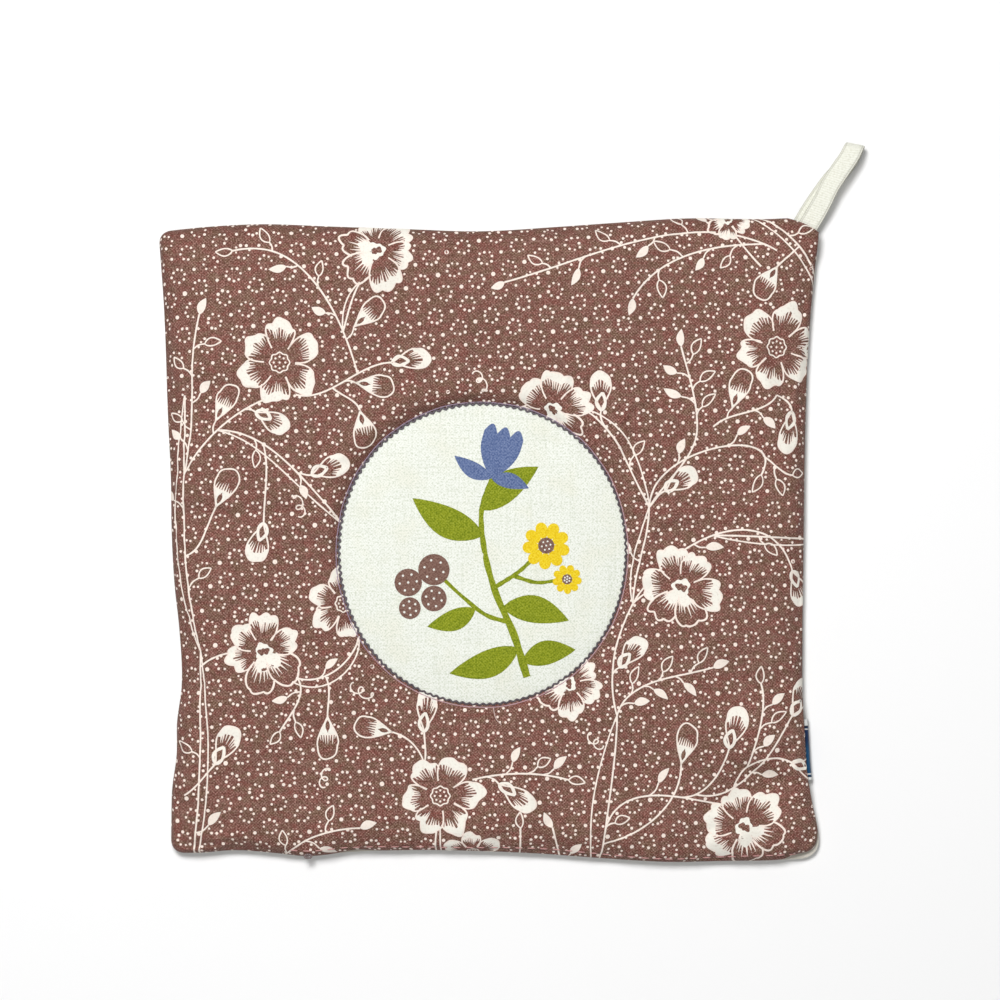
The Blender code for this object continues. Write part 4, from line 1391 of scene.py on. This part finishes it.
def linen_ink(name, colour, light, dark):
    """Flat printed colour, lighter on the humps of the yarn and darker in places where it pooled."""
    material, wire, cloth = new_material(name, 0.85, 0.04)
    height, yarn, over = linen_height(cloth)
    colour, light, dark = palette(wire, colour, light, dark)
    mixed = colour.mix(light, over * 0.4 + (yarn * 1.5).between(0.1, 1.0) * 0.35)
    mixed = mixed.mix(dark, cloth.noise(260.0, 3.0).between(0.4, 0.8) * 0.35)
    specks = cloth.noise(1700.0, 2.0, 0.7) - 0.5
    mixed = mixed.mix(dark, specks.between(0.0, 0.12) * 0.85)
    mixed = mixed.mix(light, (0.0 - specks).between(0.03, 0.14) * 0.5)
    return finish_with(material, mixed, height, 0.07)


# %% Sprig
Leaf = namedtuple("Leaf", "x y heading length width")
LEAVES = (Leaf(-1.6, 1.0, 152, 25.0, 9.5), Leaf(-1.8, 9.0, 38, 22.0, 9.0), Leaf(4.5, -21.0, -12, 21.0, 8.5),
          Leaf(9.5, -34.0, 200, 23.0, 8.5), Leaf(-4.0, -21.8, 200, 16.0, 6.5),
          Leaf(10.5, -38.0, 12, 17.0, 7.5))
CALYX = (Leaf(1.0, 19.0, 149, 13.5, 5.0), Leaf(1.0, 19.0, -15, 12.0, 4.8))
Round = namedtuple("Round", "x y size")
DAISIES = (Round(18.0, -2.0, 7.4), Round(24.5, -12.5, 4.6))
BERRIES = (Round(-17.0, -9.5, 4.9), Round(-25.0, -13.5, 4.3), Round(-17.0, -18.5, 4.0),
           Round(-24.5, -21.5, 3.4))
green, blue, yellow, brown, pale = Ink(), Ink(), Ink(), Ink(), Ink()


def place_bell(drawing, x, y, heading, length, width):
    """A bell: its half width grows as a sine, and its mouth is three points."""
    t = np.linspace(0.0, 1.0, 15)
    half = 0.5 * width * np.sin(0.5 * math.pi * np.minimum(t * 1.25, 1.0)) ** 0.8 + 0.05
    side = np.linspace(-1.0, 1.0, 25)
    mouth = length * (0.84 + 0.16 * np.abs(np.cos(1.5 * math.pi * side)))
    grid = np.stack((t[:, None] * mouth, half[:, None] * side), axis=-1)
    drawing.patch(turned(grid, heading, (x, y)))


green.line((12.0, -43.0, 8.0, -30.0, 2.0, -16.0, -1.5, -2.0, -2.0, 10.0, 1.0, 19.0), 1.9, (1.3, 0.7))
green.line((2.0, -15.0, 9.0, -10.5, 17.0, -3.0), 1.3, (1.1, 0.8))
green.line((8.0, -11.5, 15.0, -13.5, 23.0, -12.5), 1.2, (1.1, 0.8))
green.line((7.0, -26.0, 0.0, -24.0, -8.0, -18.0, -15.0, -11.5), 1.3, (1.1, 0.8))
for place in LEAVES:
    leaf(green, *place)
place_bell(blue, 1.0, 19.0, 74.0, 16.5, 12.5)
for place in CALYX:
    leaf(blue, *place)
for x, y, size in DAISIES:
    for heading in np.arange(9) * 40.0 + 8.0 + x:
        outline = egg(size, 0.5 * size, 0.25 * size, 0.3, depth=0.0)
        half = len(outline) // 2
        grid = np.stack((outline[:half + 1], np.vstack((outline[:1], outline[:half - 1:-1]))), axis=1)
        yellow.patch(turned(grid, heading, (x, y)))
    brown.disk(x, y, 0.34 * size)
for x, y, size in BERRIES:
    brown.disk(x, y, size)
for x, y, size in BERRIES + tuple(Round(x, y, 0.3 * size) for x, y, size in DAISIES):
    ring = directions(np.arange(6) * math.tau / 6 + x) * 0.62 * size
    pale.dots(np.vstack((ring, (0.0, 0.0))) + (x, y), 0.38 if size > 2.5 else 0.3)

# %% Laying the sprig
Tint = namedtuple("Tint", "piece drawing ink lift colour light dark")
TINTS = (
    Tint("sprig_leaves", green, "leaf_green_ink", 0.06, (136, 148, 4), (174, 182, 66), (98, 118, 0)),
    Tint("sprig_bell", blue, "bell_blue_ink", 0.075, (96, 116, 160), (138, 150, 186), (68, 88, 136)),
    Tint("sprig_daisy", yellow, "daisy_yellow_ink", 0.09, (244, 212, 4), (250, 226, 80), (226, 184, 0)),
    Tint("sprig_berries", brown, "berry_brown_ink", 0.105, (126, 92, 80), (156, 128, 116), (98, 66, 58)),
    Tint("sprig_specks", pale, "sprig_pale_ink", 0.12, (240, 240, 232), (244, 244, 238), (226, 226, 216)),
)
SPRIG_SPAN = 96.0
for tint in TINTS:
    points, places, _, groups = lay_ink(tint.drawing, medallion_cloth, tint.lift, along_cloth=False)
    mesh = make_mesh(tint.piece, points, *groups)
    give_cloth(mesh, places)
    give_map(mesh, 0.5 + (places - CENTRE) / SPRIG_SPAN)
    place_piece(tint.piece, mesh, linen_ink(tint.ink, tint.colour, tint.light, tint.dark), "medallion")

# %% [markdown]
# ## The back cover
# Underneath is plain cream cotton. It lies flat on the table, turns up a little at its margin to meet the
# front at the seam, and is drawn in slightly where the ring of stitches goes through. Its wrinkles
# can only rise, because the table is below, so they are waves with their negative half cut away.
# %% Plain cotton


def cotton_finish():
    """Undyed cotton: a fine weave in two near tones, and clouds."""
    material, wire, cloth = new_material("cream_cotton", 0.9, 0.04)
    weave, yarn, _, _ = plain_weave(cloth, BACK_PITCH)
    cream, shade = palette(wire, (242, 238, 226), (226, 220, 204))
    share = (yarn * 1.5).between(0.0, 1.0) * 0.5 + cloth.noise(80.0, 3.0).between(0.4, 0.7) * 0.35
    height = weave * 0.6 + yarn * 0.5 + cloth.noise(900.0) * 0.3
    return finish_with(material, cream.mix(shade, share), height, 0.07)


# %% Back cover
BACK_RINGS = 40
RIM_STEPS = ((0.0, 0.25), (0.1, 0.6), (0.1, 0.9), (0.0, 1.15))       # outwards, up
TOP_SHARES = (0.985, 0.95, 0.9, 0.83, 0.5, 0.1, 0.0)
back_columns = np.arange(0, COLUMNS, 2)


def back_ring(share, above=0.0):
    """The back cover at a share of the way to the seam: flat, with a lifted margin, and `above` it.
    Only its lower side is wrinkled."""
    outer = max((share - 1 + MARGIN_SHARE) / MARGIN_SHARE, 0.0)
    near_window = np.clip(1 - share * reach / BACK_CHANNEL_REACH, 0.0, 1.0)
    height = above + RIM_RISE * outer ** 2 + BACK_CHANNEL_DEPTH * near_window ** 2
    ring = ring_at(window + share * reach, height)
    if above == 0.0:
        x, y = ring[:, 0], ring[:, 1]
        rise = np.maximum(0.25 * waves(12, x, y, 18.0, 60.0) + 0.12 * waves(13, x, y, 6.0, 15.0), 0.0)
        ripple = 0.3 * np.maximum(waves(14, turn * WINDOW_R, 0.0, 5.0, 12.0), 0.0)
        ripple = ripple * np.exp(-(share * reach / 8) ** 2)
        hem = 0.3 * waves(15, seam_place[:-1], 0.0, 6.0, 16.0) * outer * (1 - outer) * 2
        ring[:, 2] += rise * (1 - outer) + ripple + hem * (RIM_RISE * outer ** 2 > 0.2)
    return ring[back_columns]


def under_window(share):
    """The back cover inside the ring of stitches, where it rises only near the stitches."""
    near_ring = max(1 - (1 - share) * WINDOW_R / BACK_CHANNEL_REACH, 0.0)
    return ring_at(share * window, BACK_CHANNEL_DEPTH * near_ring ** 2)[back_columns]


low_rings = [under_window(share) for share in np.linspace(0.08, 0.98, 14)]
low_rings += [back_ring(share) for share in 1 - (1 - np.linspace(0.0, 0.995, BACK_RINGS)) ** 1.3]
rim_rings = []
for out, up in RIM_STEPS:
    ring = back_ring(1.0, 0.001)
    ring[:, :2] += (out - 0.1) * spoke[back_columns]
    ring[:, 2] = RIM_RISE + up
    rim_rings.append(ring)
high_rings = [back_ring(share, BACK_THICK) for share in TOP_SHARES]
high_rings += [ring_at(share * window, BACK_THICK)[back_columns] for share in (0.85, 0.4)]
back_rings = np.stack(low_rings + rim_rings + high_rings)
poles = np.array(((*CENTRE, 0.0), (*CENTRE, BACK_THICK)))
back_mesh = skin("back_cover", back_rings, poles)
give_cloth(back_mesh, np.vstack((back_rings[..., :2].reshape(-1, 2), poles[:, :2])))
back_cover = place_piece("back_cover", back_mesh, cotton_finish(), "back_panel", "back_panel")

# %% [markdown]
# ## Thread
# Thread is a round profile carried along a path. A zigzag stitch is a path that swings between two
# distances from the window's edge, and dips into the cloth at each end of its swing. The plies of
# a thread are too fine to be shape here, so a fine slanted ripple in the material stands for them.
# %% Profiles along a path


def tube(path, radius):
    """Rings of a round profile with six corners: at each station a circle in the plane across the
    path, spanned by the side (up cross tangent) and the tangent cross side."""
    tangent = np.gradient(path, axis=0)
    tangent /= np.linalg.norm(tangent, axis=1)[:, None]
    side = np.cross((0.0, 0.0, 1.0), tangent)
    side /= np.linalg.norm(side, axis=1)[:, None]
    rise = np.cross(tangent, side)
    angle = np.arange(6) * math.tau / 6
    radius = np.reshape(radius * np.ones(len(path)), (-1, 1, 1))
    circle = np.cos(angle)[None, :, None] * side[:, None] + np.sin(angle)[None, :, None] * rise[:, None]
    return path[:, None] + radius * circle


def place_thread(name, material, slot, *tubes):
    """One piece from closed tubes, each with flat ends."""
    points, quads, caps, start = [], [], [], 0
    for rings in tubes:
        count, corners = rings.shape[:2]
        flat_points = rings.reshape(-1, 3)
        faces = grid_faces(count, corners, wrap=True)
        ends = np.stack((np.arange(corners)[::-1], np.arange(corners) + (count - 1) * corners))
        if not facing_out(flat_points - flat_points.mean(0), faces):
            faces, ends = faces[:, ::-1], ends[:, ::-1]
        points.append(flat_points)
        quads.append(faces + start)
        caps.append(ends + start)
        start += len(flat_points)
    mesh = make_mesh(name, np.vstack(points), np.vstack(quads), np.vstack(caps))
    place_piece(name, mesh, material, slot)


def thread_finish(name, base, light, faded=None):
    """Twisted cotton thread: fine slanting stripes of light and shade. A faded tone takes over towards
    the south and the east."""
    material, wire, _ = new_material(name, 0.6, 0.1)
    place = wire.node("TexCoord", output=3)
    base, light = palette(wire, base, light)
    ply = place.node("TexWave", {"bands_direction": "DIAGONAL"},
                     {"Vector": place, "Scale": 900.0, "Distortion": 2.0, "Detail": 1.0}, output=1)
    fuzz = place.noise(2500.0, 2.0)
    if faded:
        x, y = place.parts()
        base = base.mix(*palette(wire, faded), (x - y).between(-20 * MM, 30 * MM))
    colour = base.mix(light, ply * 0.5 + fuzz.between(0.4, 0.7) * 0.3)
    return finish_with(material, colour, ply + fuzz * 0.5, 0.05)


slate_thread = thread_finish("slate_thread", (92, 84, 92), (128, 118, 124), (62, 52, 56))
knot_thread = thread_finish("knot_thread", (104, 84, 84), (176, 164, 162))
mauve_thread = thread_finish("mauve_thread", (150, 128, 150), (190, 170, 188), (206, 160, 160))
pink_thread = thread_finish("dusty_pink_thread", (196, 140, 136), (222, 176, 170))
blush_thread = thread_finish("blush_thread", (224, 196, 188), (242, 222, 214))
cream_thread = thread_finish("cream_thread", (236, 228, 210), (246, 242, 230))

# %% Stitching round the window
ZIGZAGS, ZIGZAG_STEPS = 138, 8
ZIGZAG_R, LINE_R, BACK_R, STITCH_R, LOOSE_R, KNOT_R = 0.33, 0.17, 0.15, 0.2, 0.12, 0.24
LINE_LIFT, LINE_STITCH, LINE_DIP = 0.14, 2.3, 0.22


def zigzag_path(swing_in, swing_out, height):
    """Radius swings between the two distances as a triangle wave with rounded tips; the height rises in
    the middle of each swing."""
    where = np.arange(ZIGZAGS * ZIGZAG_STEPS) * math.tau / (ZIGZAGS * ZIGZAG_STEPS)
    swing = 2 / math.pi * np.arcsin(0.94 * np.sin(ZIGZAGS * where))
    middle, half = 0.5 * (swing_in + swing_out), 0.5 * (swing_out - swing_in)
    half = half * (1 + 0.2 * np.cos(where - math.radians(135)))
    jitter = 0.06 * waves(21, where * WINDOW_R, 0.0, 5.0, 17.0)
    radius = window_radius(where) + middle + half * swing + jitter
    rise = height + 0.16 * np.cos(0.5 * math.pi * swing)
    return np.column_stack((CENTRE + radius[:, None] * directions(where), rise))


def closed_tube(path, radius):
    """Rings of a tube along a closed path; its last ring meets its first."""
    return tube(np.vstack((path[-2:], path, path[:3])), radius)[2:-2]


def thread_on_cloth(way, lift, stitch, dip):
    """A path over the front that dips by `dip` at every `stitch` millimetres."""
    place = chord_places(way)
    where = np.linspace(0.0, place[-1], int(place[-1] / stitch * 6) + 1)
    points, _, _ = front.lay(smooth_rows(place, way, where))
    points[:, 2] += lift - dip * np.abs(np.cos(math.pi * where / stitch)) ** 6
    return points


zigzag = closed_tube(zigzag_path(-0.45, 0.45, CROWN - CHANNEL_DEPTH + 0.08), ZIGZAG_R)
place_thread("zigzag_thread", slate_thread, "front_panel", zigzag)

around = np.linspace(0.0, math.tau, 721)
line_radius = window_radius(around) + 0.72 - 0.2 * np.sin(around) - 0.08 * np.cos(around)
line_radius = line_radius + 0.1 * waves(22, around * WINDOW_R, 0.0, 9.0, 30.0)
straight = thread_on_cloth(CENTRE + line_radius[:, None] * directions(around),
                           LINE_LIFT, LINE_STITCH, LINE_DIP)
place_thread("ring_line_thread", mauve_thread, "front_panel", tube(straight, LINE_R))

# the ring of stitches seen on the back
back_path = zigzag_path(-0.5, 0.6, 0.0)
back_path[:, 2] = 0.34 - 0.08 * np.abs(np.sin(np.arange(len(back_path)) * math.pi / ZIGZAG_STEPS))
place_thread("back_zigzag_thread", cream_thread, "back_panel", closed_tube(back_path, BACK_R))

# %% Stitching along the bottom


def seam_point(x, inset):
    """Places along the bottom seam at x, set inwards."""
    bottom = seam[:SIDE_STEPS]
    return np.column_stack((x, np.interp(x, bottom[:, 0], bottom[:, 1]) + inset))


def capsule(start, end, radius, sink):
    """One stitch: a path with sunk ends and a tapering profile."""
    share = np.linspace(0.0, 1.0, 7)[:, None]
    points, _, _ = front.lay(start * (1 - share) + end * share)
    bow = np.sqrt(np.clip(1 - (2 * share[:, 0] - 1) ** 2, 0.0, 1.0))
    points[:, 1] -= 0.08 * bow
    points[:, 2] += -sink + (sink + 0.6 * radius) * bow
    return tube(points, radius * (0.45 + 0.55 * bow))


STITCH_FROM, STITCH_TO, STITCH_LONG, STITCH_EVERY = -62.0, 97.0, 2.7, 3.9
random = np.random.default_rng(31)
stitch_starts = np.arange(STITCH_FROM, STITCH_TO, STITCH_EVERY)
stitch_starts = stitch_starts + random.normal(0, 0.15, len(stitch_starts))
stitches = []
for x in stitch_starts:
    ends = seam_point(np.array((x, x + STITCH_LONG * random.normal(1, 0.06))),
                      1.5 + 0.35 * math.sin(x * 0.09))
    stitches.append(capsule(ends[0], ends[1], STITCH_R, 0.25))
place_thread("bottom_stitches", pink_thread, "front_panel", *stitches)

# %% A loose thread end and a knot
loose_way = np.array(((1.6, -52.6), (1.8, -54.2), (2.5, -56.2), (4.0, -57.8)))
loose_place = chord_places(loose_way)
loose_points, _, _ = front.lay(smooth_rows(loose_place, loose_way, np.linspace(0.0, loose_place[-1], 14)))
loose_points[:, 2] += 0.14 + 0.25 * np.linspace(0.0, 1.0, 14) ** 2
place_thread("loose_thread", blush_thread, "front_panel", tube(loose_points, LOOSE_R))

knot_angle = np.linspace(0.0, 7.0 * math.pi, 110)
knot_place = front.lay(np.array(((-56.3, -98.3),)))[0][0] + (0.0, -0.7, 0.4)
tilt = 0.37 * knot_angle
knot = knot_place + np.column_stack((1.25 * np.cos(knot_angle) * np.cos(tilt), 0.62 * np.sin(knot_angle),
                                     0.45 * np.cos(knot_angle) * np.sin(tilt)))
place_thread("thread_knot", knot_thread, "front_panel", tube(knot, KNOT_R))

# %% [markdown]
# ## The hanging loop
# A folded cream tape leaves the corner, lies out over the table, turns back on itself and returns above.
# Its profile is a flat oval with a slight waist, carried along a path whose rows have four columns: how
# far out, how high, how far aside, and how many degrees the tape turns.
# %% Tape
TAPE_WIDE, TAPE_THICK = 6.1, 1.0
LOOP_ROOT, LOOP_HEADING, LOOP_STATIONS = np.array((98.75, 98.6, 0.0)), math.radians(57.3), 130
LOOP_PATH = np.array((
    (-3.5, 2.9, -0.4, 0.0), (0.0, 3.4, -0.4, 0.0), (2.5, 3.2, -0.5, 0.0), (6.0, 1.9, -0.5, 0.0),
    (10.0, 0.85, -0.4, 0.0), (16.0, 0.7, -0.1, 0.0), (22.0, 0.7, 0.8, 4.0), (26.0, 1.0, 0.8, 14.0),
    (28.4, 2.1, 0.4, 20.0), (29.1, 3.7, 0.1, 22.0), (28.2, 5.4, 0.1, 20.0), (25.3, 6.4, 0.4, 12.0),
    (20.0, 6.6, 0.3, 3.0), (14.0, 6.45, 0.3, 0.0), (9.0, 6.0, 0.9, 0.0), (4.5, 5.3, 1.2, 0.0),
    (0.0, 4.7, 1.35, 0.0), (-3.5, 4.15, 1.35, 0.0),
))


def tape_finish():
    """Folded twill tape: slanting ribs, a soft groove along each side, painted shade in those grooves and
    along its edges, and fine grain.
    """
    material, wire, cloth = new_material("cream_tape", 0.85, 0.06)
    cream, shade, dark = palette(wire, (252, 252, 241), (226, 226, 208), (186, 184, 170))
    along, across = cloth.parts()
    rib = ((along + across * 0.25) * (math.tau / (0.75 * MM))).math("SINE") * 0.5 + 0.5
    off_middle = across.math("ABSOLUTE")
    side = off_middle.between(2.1 * MM, 2.5 * MM) - off_middle.between(2.55 * MM, 2.8 * MM)
    edge_shade = off_middle.between(2.8 * MM, 2.95 * MM)
    grain = cloth.noise(1400.0, 2.0, 0.6)
    colour = cream.mix(shade, rib * 0.4 + grain.between(0.42, 0.66) * 0.45)
    height = rib * 0.5 + grain * 0.8 - side * 0.8 + cloth.noise(500.0, 2.0) * 1.2
    # painted shade: the grooves along the sides and the very edges of the tape are darkened in colour
    return finish_with(material, colour.mix(dark, side * 0.5 + edge_shade * 0.9), height, 0.13)


def loop_rings():
    """Profile of the tape at each station, and the place of each point on the flat tape."""
    place = chord_places(LOOP_PATH[:, :2])
    where = np.linspace(0.0, place[-1], LOOP_STATIONS)
    out, up, aside, yaw = smooth_rows(place, LOOP_PATH, where).T[:, :, None]
    forward = np.append(directions(LOOP_HEADING), 0.0)
    right = np.array((forward[1], -forward[0], 0.0))
    line = LOOP_ROOT + out * forward + aside * right + up * np.array((0.0, 0.0, 1.0))
    side = np.cos(np.radians(yaw)) * right + np.sin(np.radians(yaw)) * forward
    face = np.cross(side, np.gradient(line, axis=0))
    face /= np.linalg.norm(face, axis=1)[:, None]
    angle = np.arange(20) * math.tau / 20
    wide = np.sign(np.cos(angle)) * np.abs(np.cos(angle)) ** 0.45 * TAPE_WIDE / 2
    thick = np.sign(np.sin(angle)) * np.abs(np.sin(angle)) ** 0.7 * TAPE_THICK / 2
    thick = thick * (1 - 0.14 * np.exp(-(wide / 1.6) ** 2))
    wave = 1 + 0.015 * waves(17, where, 0.0, 6.0, 18.0)
    rings = line[:, None] + (wave[:, None] * wide)[..., None] * side[:, None]
    rings = rings + thick[None, :, None] * face[:, None]
    tape = np.stack((where[:, None] * np.ones(20), wide * np.ones((len(where), 1))), axis=-1)
    return rings, tape


rings, tape = loop_rings()
loop_mesh = skin("tape_loop", rings)
give_cloth(loop_mesh, tape.reshape(-1, 2))
tape_loop = place_piece("tape_loop", loop_mesh, tape_finish(), "hanging_loop", "hanging_loop")

# %% [markdown]
# ## The side label
# A narrow woven ribbon is folded into the right seam. Its ground is navy, and both ends finish in a
# dark line and a pale one on white. The stripes are read from the height along the seam, with soft
# steps, so they stay sharp at any size.
# %% Label
LABEL_LOW, LABEL_HIGH = -75.3, -56.2
LABEL_PATH = np.array(((-2.5, 2.75), (-1.2, 3.1), (-0.2, 3.4), (0.4, 3.35), (0.7, 2.95), (0.7, 0.9)))
LABEL_THICK, LINE_WIDE = 1.0, 0.35
LINES = ((-58.6, "dark"), (-59.4, "pale"), (-73.4, "pale"), (-74.1, "dark"))


def label_finish():
    """Navy between two pairs of lines, white beyond them, and a fine ribbed weave."""
    material, wire, cloth = new_material("navy_ribbon", 0.55)
    _, along = cloth.parts()
    white, navy, teal, dark = palette(wire, (240, 242, 240), (18, 44, 84), (20, 80, 122), (20, 26, 42))
    thread = (along * (math.tau / (0.28 * MM))).math("SINE") * 0.5 + 0.5
    lower = along.between(-66.0 * MM, -62.5 * MM) * -1.0 + 1.0
    ground = navy.mix(teal, lower * 0.85 + thread * 0.12)
    body = along.between(-74.5 * MM, -74.3 * MM) - along.between(-58.4 * MM, -58.2 * MM)
    colour = white.mix(ground, body)
    for place, tone in LINES:
        edges = [along.between((place + side - 0.1) * MM, (place + side + 0.1) * MM)
                 for side in (-LINE_WIDE / 2, LINE_WIDE / 2)]
        colour = colour.mix(dark if tone == "dark" else white, edges[0] - edges[1])
    return finish_with(material, colour, thread * 0.6 + cloth.noise(2200.0, 2.0) * 0.5, 0.05)


def label_rings():
    """The label's profile across the seam, carried along the seam."""
    right = seam[SIDE_STEPS + CORNER_STEPS - 1:2 * SIDE_STEPS + CORNER_STEPS - 1]
    y = np.linspace(LABEL_LOW, LABEL_HIGH, 44)
    stations = np.column_stack((np.interp(y, right[:, 1], right[:, 0]), y))
    along = np.gradient(stations, axis=0)
    place = chord_places(LABEL_PATH)
    path = smooth_rows(place, LABEL_PATH, np.linspace(0.0, place[-1], 16))
    half = 0.5 * LABEL_THICK * left_of(np.gradient(path, axis=0))
    profile = np.vstack((path + half, (path - half)[::-1]))
    outer = stations[:, None] - profile[None, :, :1] * left_of(along)[:, None]
    heights = np.broadcast_to(profile[None, :, 1:], outer.shape[:2] + (1,))
    return np.concatenate((outer, heights), axis=2), profile


rings, profile = label_rings()
label_mesh = skin("ribbon_label", rings)
label_places = np.stack((np.broadcast_to(chord_places(profile), rings.shape[:2]), rings[..., 1]), axis=-1)
give_cloth(label_mesh, label_places.reshape(-1, 2))
ribbon_label = place_piece("ribbon_label", label_mesh, label_finish(), "side_label", "side_label")

# %% [markdown]
# ## Floor
# The floor is a plain pale sheet far bigger than the view.
# %% Floor and finish
FLOOR_SPAN, FLOOR_LOW = 3000.0, -0.02
floor_material = new_material("pale_floor", 0.8)[0]
floor_surface = floor_material.node_tree.nodes["Principled BSDF"]
floor_surface.inputs["Base Color"].default_value = (0.86, 0.86, 0.86, 1.0)
corners = np.array(((-1.0, -1.0), (1.0, -1.0), (1.0, 1.0), (-1.0, 1.0))) * FLOOR_SPAN
floor_mesh = make_mesh("floor", np.column_stack((corners, np.full(4, FLOOR_LOW))), np.arange(4)[None])
floor_mesh.materials.append(floor_material)
floor = bpy.data.objects.new("floor", floor_mesh)
bpy.context.scene.collection.objects.link(floor)
